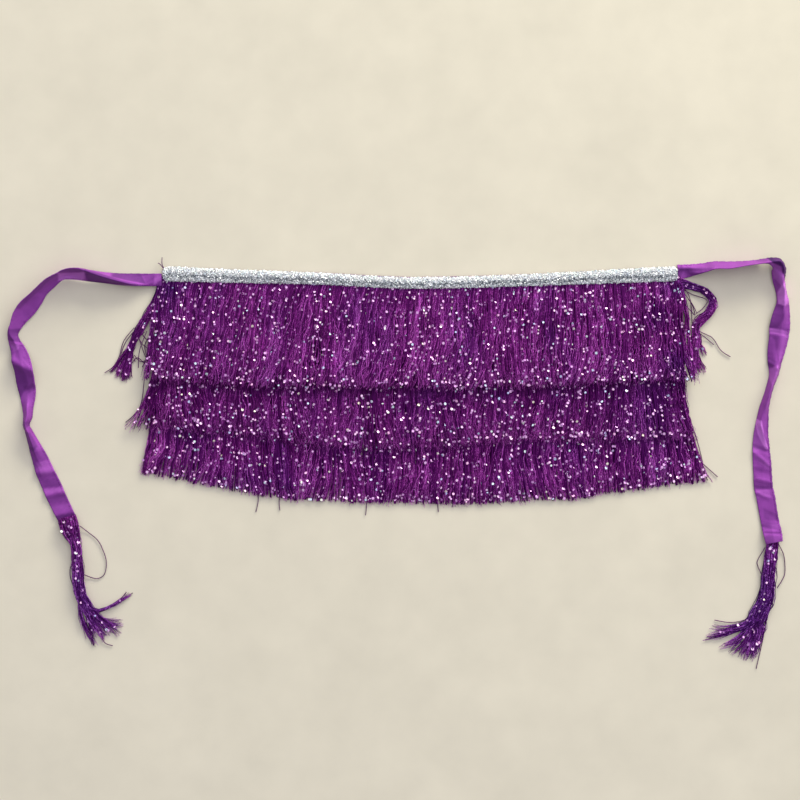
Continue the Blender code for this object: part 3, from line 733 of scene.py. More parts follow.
# %% The thread tree
THREAD_INPUTS = {"Sheets": "Float", "Threads": "Int", "Points": "Int"}
THREAD_INPUTS |= dict.fromkeys([
    "Crowding", "Thickness", "Shortening", "Locks", "Grip", "Lock lean", "Thread lean",
    "Stream lean", "Streams", "Swirl", "Waver", "Waves", "Dive", "Curl", "Lowest layer",
    "Shade", "Shade spread", "Patchiness", "Tip shade",
], "Float")
THREAD_INPUTS |= {"Seed": "Int", "Paint": "Material"}
SHEET_MARGIN = 0.002
# Noise over a tier: how many swells lie across the guide, and how many down a thread.
SWIRLS = (95.0, 4.5)
HEAPS = (60.0, 4.0)
BLOTCHES = (45.0, 3.2)
COOL_BLOTCHES = (22.0, 1.0)
STREAM_BENDS = 1.3
# Noise on one thread: how far neighbours' noise lies apart, and how many streaks it has.
STREAKS = (3.7, 9.0)
WAVERS_APART = 7.31
# Shares of a thread's length: from where it moves freely, and from where it curls.
FREE_FROM = 0.25
CURL_FROM = 0.75
HIGHEST_LAYER = 1.15
GIRTHS = (0.38, 0.62)
# How steeply a thread narrows at its end, and its girth there as a share.
TAPER = 6.0
TIP_GIRTH = 0.5
# Down the guide, a thread wavers and curls this much of what it does across.
DOWN_WAVER = 0.5
DOWN_CURL = 0.6
LOOSEST_GRIP = 0.3
LOCK_SHIFT = 0.7
HEAP_RISE = 0.8
# How much the streaks, the thread itself and its lock change its shade.
STREAK_SHADE = 2.2
OWN_SHADE = 0.65
LOCK_SHADE = 0.3
COOL_SHARE = 1.3


def thread_tree():
    group, tree, take, give = geometry_tree("threads over a guide", THREAD_INPUTS)
    seed = take["Seed"]
    line = tree.out("GeometryNodeCurvePrimitiveLine")
    line = tree.out("GeometryNodeResampleCurve", {0: line, 2: take["Points"]})
    inputs = {"Geometry": line, "Amount": take["Threads"]}
    copies = tree.node("GeometryNodeDuplicateElements", inputs, domain="SPLINE")
    thread = Value(tree, copies.outputs["Duplicate Index"])
    draw = drawer(tree, seed, thread)

    def ripple(owner, across, down, detail=1.0):
        """Smooth noise above and below 0: it changes with the owner and down a thread."""
        place = tree.vector(owner * across, along * down, seed)
        return tree.noise(place, 1.0, detail) - 0.5

    # Points sit closer together towards the tip, where threads curl.
    ahead = 1.0 - tree.out("GeometryNodeSplineParameter", output="Factor")
    along = 1.0 - tree.math("POWER", ahead, take["Crowding"])
    free = tree.math("MINIMUM", along * (1 / FREE_FROM), 1.0)
    hook = tree.math("MAXIMUM", along - CURL_FROM, 0.0)
    hook = hook * hook * (1 / (1 - CURL_FROM) ** 2)

    # Where the thread is rooted, and the lock it belongs to.
    root = (thread + draw(1)) / take["Threads"]
    lock = tree.math("FLOOR", root * take["Locks"])
    aside, bent, paler = [draw(step, -0.5, 0.5, lock) for step in (2, 3, 4)]
    middle = (lock + 0.5 + aside * LOCK_SHIFT) / take["Locks"]
    hold = draw(5, LOOSEST_GRIP) * take["Grip"] * (along * along)

    # Leaning: single threads, whole locks, and wide streams of neighbours.
    lean = draw(6, -0.5, 0.5) * take["Thread lean"] + bent * take["Lock lean"]
    flow = ripple(root, take["Streams"], STREAM_BENDS, 0.0) * take["Stream lean"]
    swirl = ripple(root, *SWIRLS) * free
    u = tree.mix(hold, root, middle) + (swirl * take["Swirl"] + (lean + flow) * along)
    sheet = tree.math("FLOOR", root * take["Sheets"])
    limits = [(sheet + edge) / take["Sheets"] for edge in (SHEET_MARGIN, 1.0 - SHEET_MARGIN)]
    u = tree.clamp(u, *limits)

    # How far down the guide the thread reaches.
    cut = draw(7)
    cut = (cut * cut + paler + 0.5) * (take["Shortening"] * 0.5)
    v = along * (1.0 - cut)
    labels = ("depth", "tone_and_painted_shade", "blue")
    lies_at, depth, tone_and_painted_shade, blue = on_guide(tree, take["Geometry"], u, v, labels)

    # Its layer in the pile, and a waver and a curl of its own.
    place = tree.vector(thread * WAVERS_APART, along * take["Waves"], seed)
    inputs = {"Vector": place, "Scale": 1.0, "Detail": 1.0}
    wander = tree.node("ShaderNodeTexNoise", inputs).outputs
    dive = (Value(tree, wander["Fac"]) - 0.5) * take["Dive"]
    layer = tree.clamp(draw(8, take["Lowest layer"]) + dive, 0.0, HIGHEST_LAYER)
    swell = ripple(root, *HEAPS, 0.0) * HEAP_RISE + 1.0
    rise = layer * depth * swell
    reach = take["Waver"] * free
    waver = [(part - 0.5) * reach for part in tree.parts(wander["Color"])]
    curls = [draw(step, -1.0, 1.0) * take["Curl"] * hook for step in (11, 12)]
    across = waver[0] + curls[0]
    down = waver[1] * DOWN_WAVER + curls[1] * DOWN_CURL

    # The skin: thinner at the tip, a little different for every thread, and above the floor.
    taper = tree.math("MINIMUM", along * -TAPER + (TAPER + TIP_GIRTH), 1.0)
    radius = draw(10, *GIRTHS) * take["Thickness"] * taper
    rise = tree.math("MAXIMUM", rise, radius - tree.parts(lies_at)[2])
    inputs = {0: copies.outputs[0], "Position": lies_at}
    inputs["Offset"] = tree.vector(across, down, rise)
    lines = tree.out("GeometryNodeSetPosition", inputs)

    # What the yarn material reads: how light and how blue the thread is. Its streaks and blotches
    # are the yarn's own uneven tone, and partly painted highlights where flat bundles catch the
    # light. The guide's tone adds the painted patches and the painted shade under each hem.
    shade = ripple(thread, *STREAKS) * STREAK_SHADE + draw(9, -0.5, 0.5) * OWN_SHADE
    shade = shade + ripple(root, *BLOTCHES) * take["Patchiness"] + paler * LOCK_SHADE
    shade = shade * take["Shade spread"] + take["Shade"]
    shade = tree.clamp(shade + hook * take["Tip shade"] + tone_and_painted_shade)
    cool = tree.math("MAXIMUM", ripple(root, *COOL_BLOTCHES) * COOL_SHARE, 0.0)
    cool = tree.math("MINIMUM", cool + blue, 1.0)
    skin = yarn_skin(tree, lines, radius, SIDES, shade, cool)
    finish_tree(tree, give, skin, take["Paint"])
    return group


THREAD_TREE = thread_tree()
print("tree", THREAD_TREE.name, "with", len(THREAD_TREE.nodes), "nodes")

# %% [markdown]
# ## From tree to plain piece
# A modifier runs a tree on a guide. The evaluated result is then copied into a plain mesh, so
# the finished piece has no modifier left and its place is in its own points.

# %% Growing pieces
def grown(name, guide, group, **values):
    """Runs a tree on a guide mesh and returns the mesh that comes out."""
    holder = bpy.data.objects.new(name + " guide", guide)
    bpy.context.scene.collection.objects.link(holder)
    modifier = holder.modifiers.new("grow", "NODES")
    modifier.node_group = group
    for item in group.interface.items_tree:
        if item.item_type == "SOCKET" and item.in_out == "INPUT" and item.name != "Geometry":
            modifier[item.identifier] = values[item.name.replace(" ", "_").lower()]
    depsgraph = bpy.context.evaluated_depsgraph_get()
    mesh = bpy.data.meshes.new_from_object(holder.evaluated_get(depsgraph))
    bpy.data.objects.remove(holder)
    return mesh


def add_piece(name, mesh, slot, nodes):
    """A finished piece: it rides on the one body, and stands for the CAD nodes it dresses."""
    mesh.name = name
    piece = bpy.data.objects.new(name, mesh)
    bpy.context.scene.collection.objects.link(piece)
    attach(piece, "root")
    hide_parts(*nodes)
    mesh.calc_loop_triangles()
    print(f"{name}: {len(mesh.loop_triangles)} triangles")
    return piece


print("ready to grow pieces")

# %% [markdown]
# ## Three tiers of fringe
# Each tier's guide hangs from its tape. Its lines lean outwards at the two ends, where the
# fringe spreads, and sway together a little. Under the fine threads lies a sparser layer of
# thick ones: it stands for the heart of the pile, and closes the gaps that would show floor.
# Its yarn is painted dark, as painted shade deep in the pile.

# %% Tier guides
GUIDE_LINES = 90
GUIDE_STEPS = 14
SwayRow = namedtuple("SwayRow", "frequency shift lean")
SWAYS = table(SwayRow, [(61, 1.0, 0.5), (117, 2.3, 0.2), (23, 0.7, 1.4)])
# How far a tier's tips lean sideways, beyond the fans at its ends.
LeanRow = namedtuple("LeanRow", "x lean")
LEANS = table(LeanRow, {
    "fringe_top": [(-310, -6), (-220, -22), (0, -18), (150, -6), (360, 0)],
    "fringe_middle": [(-310, 0), (-100, -3), (100, 2), (360, 0)],
    "fringe_bottom": [(-310, 0), (-100, 2), (100, -2), (360, 0)],
})
LEAN_ONSET = 0.65


def sway(x, phase):
    waves = [math.sin(x * row.frequency + row.shift * phase) * row.lean for row in SWAYS]
    return sum(waves) * MM


def pile_at(rows, share):
    """The pile's low side and depth, in metres, at a share of the strand's length."""
    index = 0
    while index < len(rows) - 2 and rows[index + 1].share < share:
        index += 1
    place = (share - rows[index].share) / (rows[index + 1].share - rows[index].share)
    row = row_at(rows, index + place)
    return row.low * MM, row.depth * MM


def tier_guide(name):
    left, right = TAPE_ENDS[name]
    fan = FANS[name]
    phase = 1.0 + list(FANS).index(name)
    lines = []
    for i in range(GUIDE_LINES + 1):
        x = left + (right - left) * i / GUIDE_LINES
        lean_right = fan.right * math.exp((x - right) / MM / fan.right_fade) * MM
        lean_left = fan.left * math.exp((left - x) / MM / fan.left_fade) * MM
        root_y = strand_root_y(name, x)
        drop = root_y - strand_tip_y(name, x)
        line = []
        for j in range(GUIDE_STEPS + 1):
            share = j / GUIDE_STEPS
            shift = lean_right * share**fan.right_onset - lean_left * share**fan.left_onset
            shift += sway(x, phase) * share
            shift += row_at_x(LEANS[name], x).lean * MM * share**LEAN_ONSET
            low, depth = pile_at(PILES[name], share)
            line.append((x + shift, root_y - drop * share, low, depth))
        lines.append(line)
    tiers = [None] + list(FANS)
    return guide_surface(name + " guide", [lines], tiers[tiers.index(name) - 1])


TIER_GUIDES = {name: tier_guide(name) for name in FANS}
print("guides", ", ".join(TIER_GUIDES))

# %% Grow the tiers
# A column is named like the tree's input that it goes to. So are the settings below.
TierRow = namedtuple("TierRow", "threads points crowding shade patchiness tip_shade seed")
TIERS = {
    "fringe_top": TierRow(2150, 15, 1.15, 0.550, 1.5, 0.20, 11),
    "fringe_middle": TierRow(2350, 13, 1.6, 0.425, 1.1, 0.26, 23),
    "fringe_bottom": TierRow(2350, 13, 1.6, 0.585, 0.3, 0.30, 37),
}
THREAD_LOOK = dict(
    sheets=1.0, thickness=0.00074, shortening=0.085, locks=190.0, grip=0.75, lock_lean=0.018,
    thread_lean=0.034, stream_lean=0.05, streams=16.0, swirl=0.022, waver=0.013, waves=9.0,
    dive=2.0, curl=0.0065, lowest_layer=0.2, shade_spread=0.66, paint=YARN,
)
HeartRow = namedtuple("HeartRow", "threads thickness shortening")
HEARTS = {
    "fringe_top": HeartRow(520, 0.0026, 0.10),
    "fringe_middle": HeartRow(520, 0.0026, 0.10),
    "fringe_bottom": HeartRow(620, 0.0032, 0.05),
}
# The heart's yarn is painted dark: painted shade for the depths of the pile.
HEART_LOOK = dict(
    sheets=1.0, points=8, crowding=1.0, locks=190.0, grip=0.2, lock_lean=0.004,
    thread_lean=0.004, stream_lean=0.05, streams=16.0, swirl=0.018, waver=0.002, waves=4.0,
    dive=0.2, curl=0.0, lowest_layer=0.0, shade=0.10, shade_spread=0.25, patchiness=0.9,
    tip_shade=0.0, paint=YARN,
)


def add_tier(name):
    guide = TIER_GUIDES[name]
    row = TIERS[name]
    short = name.split("_")[1]
    fine = grown(name, guide, THREAD_TREE, **THREAD_LOOK, **row._asdict())
    add_piece("threads_" + short, fine, "fringe", [name])
    heart = grown(name, guide, THREAD_TREE, **HEART_LOOK, **HEARTS[name]._asdict(), seed=row.seed)
    add_piece("heart_" + short, heart, "fringe", [name])


for tier in FANS:
    add_tier(tier)

# %% [markdown]
# ## Locks that stray, and the tassels
# At both ends of the top tier a lock has slipped out and lies on the floor by itself. The
# ties end in tassels: threads gathered at a head, bound in a narrow neck, then fanning out
# in separate tufts. All of them are sheets laid along a route, so the same tree grows them.

# %% Routes of locks
RouteRow = namedtuple("RouteRow", "x y width low depth")
NECKS = table(RouteRow, {
    "stray_left": [
        (-294, 231, 9, 2.2, 1), (-298, 221, 8, 2, 1.8), (-304, 205, 10, 1, 2.6),
        (-313, 188, 13, 0.6, 3), (-323, 170, 14, 0.6, 3),
    ],
    "stray_right": [
        (340, 229, 16, 2.2, 1), (351, 226, 15, 2, 1.8), (364, 222, 11, 1.4, 2.4),
        (376, 218, 10, 0.8, 2.8), (385, 213, 10, 0.6, 3), (390, 206, 11, 0.6, 3),
        (391, 198, 11, 0.6, 3), (387, 189, 12, 0.6, 3), (378, 181, 14, 0.6, 3),
        (370, 173, 15, 0.6, 3),
    ],
    "tassel_left": [
        (-415, -66, 27, 2, 3), (-412, -77, 28, 1.9, 4.6), (-409, -87, 24, 0.8, 5.6),
        (-405, -96, 17, 0.6, 6), (-403, -106, 14, 0.6, 6), (-402, -120, 15, 0.6, 6),
        (-401, -139, 16, 0.6, 5.6), (-399, -158, 15, 0.6, 5.6), (-394, -172, 17, 0.6, 5.2),
    ],
    "tassel_right": [
        (467, -90, 18, 1.6, 2.4), (466, -105, 19, 0.6, 3.6), (464, -120, 19, 0.6, 4.4),
        (462, -138, 21, 0.6, 4.6), (461, -155, 21, 0.6, 4.6), (457, -172, 24, 0.6, 4.4),
        (449, -190, 29, 0.6, 4),
    ],
})
# Each tuft: its place across the neck from -1 to 1, its width in the neck as a share, its
# width at the tips in millimetres, and the points it passes after the neck.
TuftRow = namedtuple("TuftRow", "lane share spread route")
TUFTS = table(TuftRow, {
    "stray_left": [
        (-0.6, 0.4, 2, [(-333, 157), (-340, 143), (-349, 129), (-358, 114)]),
        (-0.3, 0.5, 2, [(-332, 155), (-339, 139), (-346, 123), (-353, 108)]),
        (0, 0.5, 2, [(-331, 154), (-337, 138), (-342, 121), (-348, 104)]),
        (0.3, 0.5, 2, [(-330, 154), (-336, 138), (-340, 121), (-343, 102)]),
        (0.6, 0.3, 1.5, [(-329, 154), (-334, 139), (-336, 122), (-337, 106)]),
    ],
    "stray_right": [
        (-0.6, 0.4, 2, [(368, 163), (364, 148), (364, 132), (367, 111)]),
        (-0.3, 0.4, 2, [(369, 162), (366, 146), (368, 128), (375, 112)]),
        (0.1, 0.4, 3, [(371, 162), (371, 146), (371, 130), (373, 112)]),
        (0.5, 0.4, 2, [(372, 162), (371, 146), (373, 130), (382, 111)]),
        (0.8, 0.2, 0.8, [(374, 163), (375, 154), (378, 145), (383, 135)]),
    ],
    "tassel_left": [
        (0.8, 0.3, 1.2, [(-379, -183), (-361, -178), (-345, -169), (-328, -158)]),
        (0.4, 0.6, 5, [(-378, -189), (-366, -197), (-352, -197), (-339, -200)]),
        (0.3, 0.6, 4, [(-380, -189), (-369, -198), (-357, -201), (-347, -201)]),
        (0.2, 0.7, 5, [(-378, -189), (-367, -197), (-358, -206), (-348, -217)]),
        (0, 0.7, 5, [(-380, -190), (-370, -200), (-362, -209), (-354, -216)]),
        (-0.2, 0.7, 5, [(-388, -188), (-379, -198), (-371, -208), (-363, -218)]),
        (-0.3, 0.6, 4, [(-388, -190), (-381, -202), (-372, -214), (-367, -224)]),
        (-0.5, 0.6, 4, [(-391, -185), (-387, -199), (-384, -213), (-380, -227)]),
        (-0.7, 0.5, 3, [(-398, -184), (-395, -198), (-388, -213), (-380, -227)]),
    ],
    "tassel_right": [
        (-0.7, 0.5, 6, [(436, -198), (420, -204), (403, -207), (390, -205)]),
        (-0.6, 0.5, 5, [(436, -200), (420, -207), (400, -213), (380, -216)]),
        (-0.5, 0.5, 5, [(438, -203), (424, -218), (411, -226), (395, -231)]),
        (-0.3, 0.6, 6, [(440, -205), (431, -219), (422, -229), (413, -237)]),
        (-0.1, 0.6, 5, [(443, -205), (437, -218), (430, -231), (424, -243)]),
        (0.1, 0.6, 5, [(446, -207), (441, -221), (435, -235), (430, -248)]),
        (0.4, 0.6, 5, [(450, -207), (446, -219), (442, -233), (438, -246)]),
        (0.7, 0.4, 4, [(455, -206), (451, -219), (446, -232), (441, -243)]),
    ],
})
print("tufts", sum(len(tufts) for tufts in TUFTS.values()))


# %% Guides for the locks
ROUTE_LINES = 6
ROUTE_STEPS = 26
TIP_LOW = 0.6
TIP_DEPTH = 0.8
# How many rows before and after a place its direction is taken from.
AIM_REACH = 0.1


def across_route(rows, place):
    """The unit direction across a route, at a place counted in rows."""
    after = row_at(rows, min(place + AIM_REACH, len(rows) - 1))
    before = row_at(rows, max(place - AIM_REACH, 0.0))
    run = (after.x - before.x, after.y - before.y)
    length = math.hypot(*run)
    return -run[1] / length, run[0] / length


def row_beside(rows, place, reach):
    """The route's row at a place, moved sideways by a share of half its width."""
    row = row_at(rows, place)
    across = across_route(rows, place)
    reach *= row.width / 2
    return row._replace(x=row.x + across[0] * reach, y=row.y + across[1] * reach)


def route_sheet(rows):
    """Lines along a route, from one side of it to the other."""
    lines = []
    for i in range(ROUTE_LINES + 1):
        line = []
        for j in range(ROUTE_STEPS + 1):
            place = (len(rows) - 1) * j / ROUTE_STEPS
            row = row_beside(rows, place, -1 + 2 * i / ROUTE_LINES)
            line.append((row.x * MM, row.y * MM, row.low * MM, row.depth * MM))
        lines.append(line)
    return lines


def tuft_rows(neck, tuft):
    """One tuft's own route: its lane down the neck, then its points out to the tips."""
    rows = []
    for index, row in enumerate(neck):
        row = row_beside(neck, index, tuft.lane * (1 - tuft.share))
        rows.append(row._replace(width=row.width * tuft.share))
    last = rows[-1]
    for index, (x, y) in enumerate(tuft.route):
        share = (index + 1) / len(tuft.route)
        width = last.width * 0.5 * (1 - share) + tuft.spread * share
        depth = last.depth * (1 - share) + TIP_DEPTH * share
        rows.append(RouteRow(x, y, width, TIP_LOW, depth))
    return rows


LOCK_GUIDES = {}
for name, tufts in TUFTS.items():
    sheets = [route_sheet(tuft_rows(NECKS[name], tuft)) for tuft in tufts]
    LOCK_GUIDES[name] = guide_surface(name, sheets)
print("guides", ", ".join(LOCK_GUIDES))

# %% Grow the locks
LockRow = namedtuple("LockRow", "name node threads points shade shortening seed")
LOCKS = [
    LockRow("stray_left", "fringe_top", 20, 16, 0.27, 0.06, 51),
    LockRow("stray_right", "fringe_top", 16, 26, 0.42, 0.06, 53),
    LockRow("tassel_left", "tassel_left", 22, 22, 0.38, 0.14, 57),
    LockRow("tassel_right", "tassel_right", 22, 22, 0.31, 0.14, 59),
]
LOCK_LOOK = dict(
    crowding=1.0, thickness=0.00090, grip=0.4, swirl=0.0, waver=0.010, waves=9.0, dive=1.6,
    curl=0.004, lowest_layer=0.0, shade_spread=0.8, patchiness=0.9, tip_shade=0.2, paint=YARN,
)


def add_locks(lock):
    tufts = len(TUFTS[lock.name])
    mesh = grown(
        lock.name, LOCK_GUIDES[lock.name], THREAD_TREE, **LOCK_LOOK, sheets=float(tufts),
        threads=lock.threads * tufts, points=lock.points, shortening=lock.shortening,
        locks=tufts * 3.0, lock_lean=0.5 / tufts, thread_lean=1.0 / tufts,
        stream_lean=0.6 / tufts, streams=tufts * 2.0, shade=lock.shade, seed=lock.seed,
    )
    add_piece("threads_" + lock.name, mesh, "fringe", [lock.node])


for lock in LOCKS:
    add_locks(lock)

# %% [markdown]
# ## Sequins
# Tiny pearly sequins are strung on the threads and lie at every angle, so a few catch the
# lamp while others stay dim. A tree drops points at random places on a guide, and puts one
# small disc on each. The discs are tilted, and each carries a tint the material reads.

# %% The sequin tree
SEQUIN_SIDES = 6
SEQUIN_INPUTS = {"Sequins": "Int"}
SEQUIN_INPUTS |= dict.fromkeys(
    ["Radius", "Thickness", "Edge share", "Edge start", "Lowest layer", "Tilt"], "Float",
)
SEQUIN_INPUTS |= {"Seed": "Int", "Paint": "Material"}
SEQUIN_LIFT = 0.0004
# Where sequins may lie, in shares of a strand's length and of the pile's depth.
ANYWHERE = (0.03, 0.95)
LAST_AT_TIPS = 0.97
HIGHEST_SEQUIN = 1.12
SEQUIN_SCALES = (0.7, 1.15)


def instanced(tree, points, shape, **inputs):
    """A copy of a shape on every point. Inputs are such as Rotation and Scale."""
    return tree.out("GeometryNodeInstanceOnPoints", {0: points, "Instance": shape, **inputs})


def disc(tree, sides, radius, thickness):
    """A flat disc with straight sides."""
    inputs = {"Vertices": sides, "Radius": radius, "Depth": thickness}
    return tree.out("GeometryNodeMeshCylinder", inputs)


def sequin_tree():
    group, tree, take, give = geometry_tree("sequins over a guide", SEQUIN_INPUTS)
    points = tree.out("GeometryNodeMeshLine", {"Count": take["Sequins"]})
    points = tree.out("GeometryNodeMeshToPoints", {0: points})
    draw = drawer(tree, take["Seed"], tree.out("GeometryNodeInputIndex"))
    # Most lie anywhere on the strands, and some near the tips.
    anywhere = draw(2, *ANYWHERE)
    near_tips = draw(3, take["Edge start"], LAST_AT_TIPS)
    v = tree.mix(tree.math("LESS_THAN", draw(4), take["Edge share"]), anywhere, near_tips)
    place, depth = on_guide(tree, take["Geometry"], draw(1), v)
    rise = draw(5, take["Lowest layer"], HIGHEST_SEQUIN) * depth + SEQUIN_LIFT
    inputs = {0: points, "Position": place, "Offset": tree.vector(0.0, 0.0, rise)}
    points = tree.out("GeometryNodeSetPosition", inputs)
    shape = disc(tree, SEQUIN_SIDES, take["Radius"], take["Thickness"])
    tilts = [draw(step, -1.0, 1.0) * take["Tilt"] for step in (6, 7)]
    turn = tree.vector(*tilts, 0.0)
    discs = instanced(tree, points, shape, Rotation=turn, Scale=draw(8, *SEQUIN_SCALES))
    discs = stored(tree, discs, "tint", draw(9), domain="INSTANCE")
    finish_tree(tree, give, discs, take["Paint"])
    return group


SEQUIN_TREE = sequin_tree()
print("tree", SEQUIN_TREE.name, "with", len(SEQUIN_TREE.nodes), "nodes")

# %% Strew the sequins
SequinRow = namedtuple("SequinRow", "sequins radius edge_share edge_start")
SEQUINS = {
    "fringe_top": SequinRow(1540, 0.00162, 0.07, 0.90),
    "fringe_middle": SequinRow(1460, 0.00168, 0.05, 0.90),
    "fringe_bottom": SequinRow(1460, 0.00172, 0.06, 0.92),
    "stray_left": SequinRow(20, 0.0017, 0.0, 0.9),
    "stray_right": SequinRow(16, 0.0017, 0.0, 0.9),
    "tassel_left": SequinRow(44, 0.0019, 0.0, 0.9),
    "tassel_right": SequinRow(48, 0.0018, 0.0, 0.9),
}
SEQUIN_LOOK = dict(thickness=0.0003, lowest_layer=0.60, tilt=0.55, paint=SEQUIN)
FIRST_SEQUIN_SEED = 71

for seed, (name, row) in enumerate(SEQUINS.items(), FIRST_SEQUIN_SEED):
    guide = TIER_GUIDES.get(name) or LOCK_GUIDES[name]
    node = "fringe_top" if name.startswith("stray") else name
    mesh = grown(name, guide, SEQUIN_TREE, **SEQUIN_LOOK, **row._asdict(), seed=seed)
    add_piece("sequins_" + name, mesh, "fringe", [node])

# %% [markdown]
# ## Loose threads
# A few threads have pulled out. They lie in loops and hooks beside the locks, each on its
# own short route. These routes are plain chains of points; a small tree turns a chain into
# a curve and skins it.

# %% Loose thread routes
# In millimetres. A point without a height lies on the floor.
ChainPoint = namedtuple("ChainPoint", "x y z", defaults=(0.9,))
LOOSE_THREADS = [
    [(-331, 170, 3), (-344, 154), (-350, 134), (-358, 121), (-368, 114)],
    [(-315, 166, 3), (-324, 142, 4), (-326, 120, 1)],
    [(-324, 168, 3), (-318, 158), (-309, 152, 2)], [(-327, 160, 3), (-320, 149), (-311, 143, 2)],
    [(-331, 136, 2), (-323, 128), (-314, 131, 2)], [(-334, 126, 2), (-327, 133), (-317, 124)],
    [(-333, 164, 3), (-343, 150), (-349, 133), (-354, 122), (-362, 115)],
    [(-326, 161, 4), (-320, 142, 2), (-314, 128, 3)],
    [(-318, 109, 3), (-322, 77, 1), (-331, 62), (-342, 52)],
    [(-179, -30, 2), (-176, -44), (-179, -60)], [(-148, -31, 2), (-150, -46), (-149, -58)],
    [(-44, -34, 2), (-41, -50), (-42, -64)], [(49, -34, 2), (48, -47), (49, -60)],
    [(66, -34, 2), (68, -45), (66, -54)], [(359, 68, 4), (372, 30, 2), (380, -1)],
    [(364, 15, 3), (380, 0), (398, -16)], [(371, 143, 3), (376, 131), (383, 121)],
    [(372, 167, 4), (381, 163), (392, 157), (402, 142), (414, 134)],
    [(350, 221, 4), (366, 212), (384, 205, 3), (380, 195, 1), (371, 188, 2)],
    [(357, 211, 5), (366, 200, 2), (372, 188, 2)], [(354, 211, 5), (356, 200, 7), (369, 186, 2)],
    [(374, 164, 4), (385, 156), (393, 149)],
    [(-407, -123, 3), (-411, -130), (-411, -141), (-407, -153, 2)],
    [(-399, -77, 3), (-389, -85), (-377, -95), (-370, -108), (-366, -122), (-368, -137),
        (-376, -143), (-384, -142), (-394, -138, 2)],
    [(-372, -216, 2), (-367, -224), (-358, -227)],
    [(-382, -186, 3), (-364, -181), (-352, -173), (-341, -160)],
    [(-384, -188, 3), (-366, -182), (-349, -173), (-333, -161)],
    [(-400, -170, 2), (-395, -190), (-389, -206), (-381, -226)],
    [(-399, -177, 2), (-393, -196), (-385, -210), (-382, -227)],
    [(444, -184, 3), (431, -195), (413, -198), (394, -195)],
    [(458, -190, 3), (455, -216), (449, -243), (446, -256)],
    [(457, -104, 3), (448, -120), (448, -127), (452, -137, 2)],
    [(473, -99, 3), (480, -112), (482, -126), (481, -140), (472, -155, 2)],
    [(-294, 245, 5), (-296, 250, 5), (-296, 258, 4)],
    [(-294, 244, 5), (-298, 249, 4), (-301, 251, 3)],
    [(346, 228, 5), (357, 212, 3), (366, 199, 1), (370, 186, 1)],
    [(350, 226, 5), (361, 212, 3), (365, 196, 1), (366, 176, 1)],
    [(348, 225, 5), (356, 209, 4), (359, 192, 2), (361, 170, 2)],
    [(352, 222, 5), (358, 205, 3), (362, 186, 1), (362, 168, 1)],
    [(365, 160, 3), (366, 145, 1), (369, 130, 1), (373, 118, 1)],
    [(366, 152, 3), (365, 138, 1), (366, 124, 1), (370, 110, 1)],
    [(376, 160, 3), (378, 148, 1), (384, 136, 1)],
    [(-318, 165, 3), (-327, 155, 4), (-333, 140, 3), (-330, 128, 1)],
    [(-312, 160, 3), (-318, 148, 1), (-316, 134, 1), (-321, 121, 1)],
]
print("loose threads", len(LOOSE_THREADS))


# %% Threads along chains
CHAIN_STEPS = 6
LOOSE_SIDES = 5
PLAIN_BLUENESS = 0.1


def chain_mesh(name, lines):
    """A mesh of edges only, with one chain for each line of points."""
    points = [point for line in lines for point in line]
    edges = []
    first = 0
    for line in lines:
        edges += [(first + i, first + i + 1) for i in range(len(line) - 1)]
        first += len(line)
    mesh = bpy.data.meshes.new(name)
    mesh.from_pydata(points, edges, [])
    return mesh


def smooth_line(route):
    """Points close together along a route, in metres."""
    rows = table(ChainPoint, route)
    places = [row_at(rows, i / CHAIN_STEPS) for i in range((len(rows) - 1) * CHAIN_STEPS + 1)]
    return [(row.x * MM, row.y * MM, row.z * MM) for row in places]


def chain_tree():
    inputs = {"Radius": "Float", "Shade": "Float", "Paint": "Material"}
    group, tree, take, give = geometry_tree("threads along chains", inputs)
    lines = tree.out("GeometryNodeMeshToCurve", {0: take["Geometry"]})
    skin = yarn_skin(tree, lines, take["Radius"], LOOSE_SIDES, take["Shade"], PLAIN_BLUENESS)
    finish_tree(tree, give, skin, take["Paint"])
    return group


CHAIN_TREE = chain_tree()
routes = chain_mesh("loose", [smooth_line(route) for route in LOOSE_THREADS])
loose = grown("loose", routes, CHAIN_TREE, radius=0.00050, shade=0.08, paint=YARN)
add_piece("loose_threads", loose, "fringe", ["fringe_top", "tassel_left", "tassel_right"])

# %% [markdown]
# ## Base cloth and header tapes
# Under the fringe lies a plain band of cloth. Each tier was bought as fringe on a narrow
# woven tape, and the tapes are sewn to the band one below the other. A thin closed grid is
# enough for both, with slight waves so that it doesn't look like card.

# %% Thin closed cloth
def cloth_mesh(name, upper, lower, widths, paint):
    """A closed shell from two grids of points. widths gives each point's place in metres."""
    wide = len(upper)
    tall = len(upper[0])
    points = [point for line in upper + lower for point in line]
    uv_of = [place for line in widths for place in line] * 2
    half = wide * tall
    faces = []
    for i in range(wide - 1):
        for j in range(tall - 1):
            a, b = i * tall + j, (i + 1) * tall + j
            faces.append((a, a + 1, b + 1, b))
            faces.append((half + a, half + b, half + b + 1, half + a + 1))
    rim = [(i, 0) for i in range(wide)] + [(wide - 1, j) for j in range(1, tall)]
    rim += [(i, tall - 1) for i in range(wide - 2, -1, -1)]
    rim += [(0, j) for j in range(tall - 2, 0, -1)]
    for (i, j), (i2, j2) in zip(rim, rim[1:] + rim[:1]):
        a, b = i * tall + j, i2 * tall + j2
        faces.append((a, b, half + b, half + a))
    mesh = bpy.data.meshes.new(name)
    mesh.from_pydata(points, [], faces)
    layer = mesh.uv_layers.new(name="cloth")
    for loop in mesh.loops:
        layer.data[loop.index].uv = uv_of[loop.vertex_index]
    mesh.polygons.foreach_set("use_smooth", [True] * len(mesh.polygons))
    mesh.materials.append(paint)
    bm = bmesh.new()
    bm.from_mesh(mesh)
    bmesh.ops.recalc_face_normals(bm, faces=bm.faces)
    bm.to_mesh(mesh)
    bm.free()
    return mesh


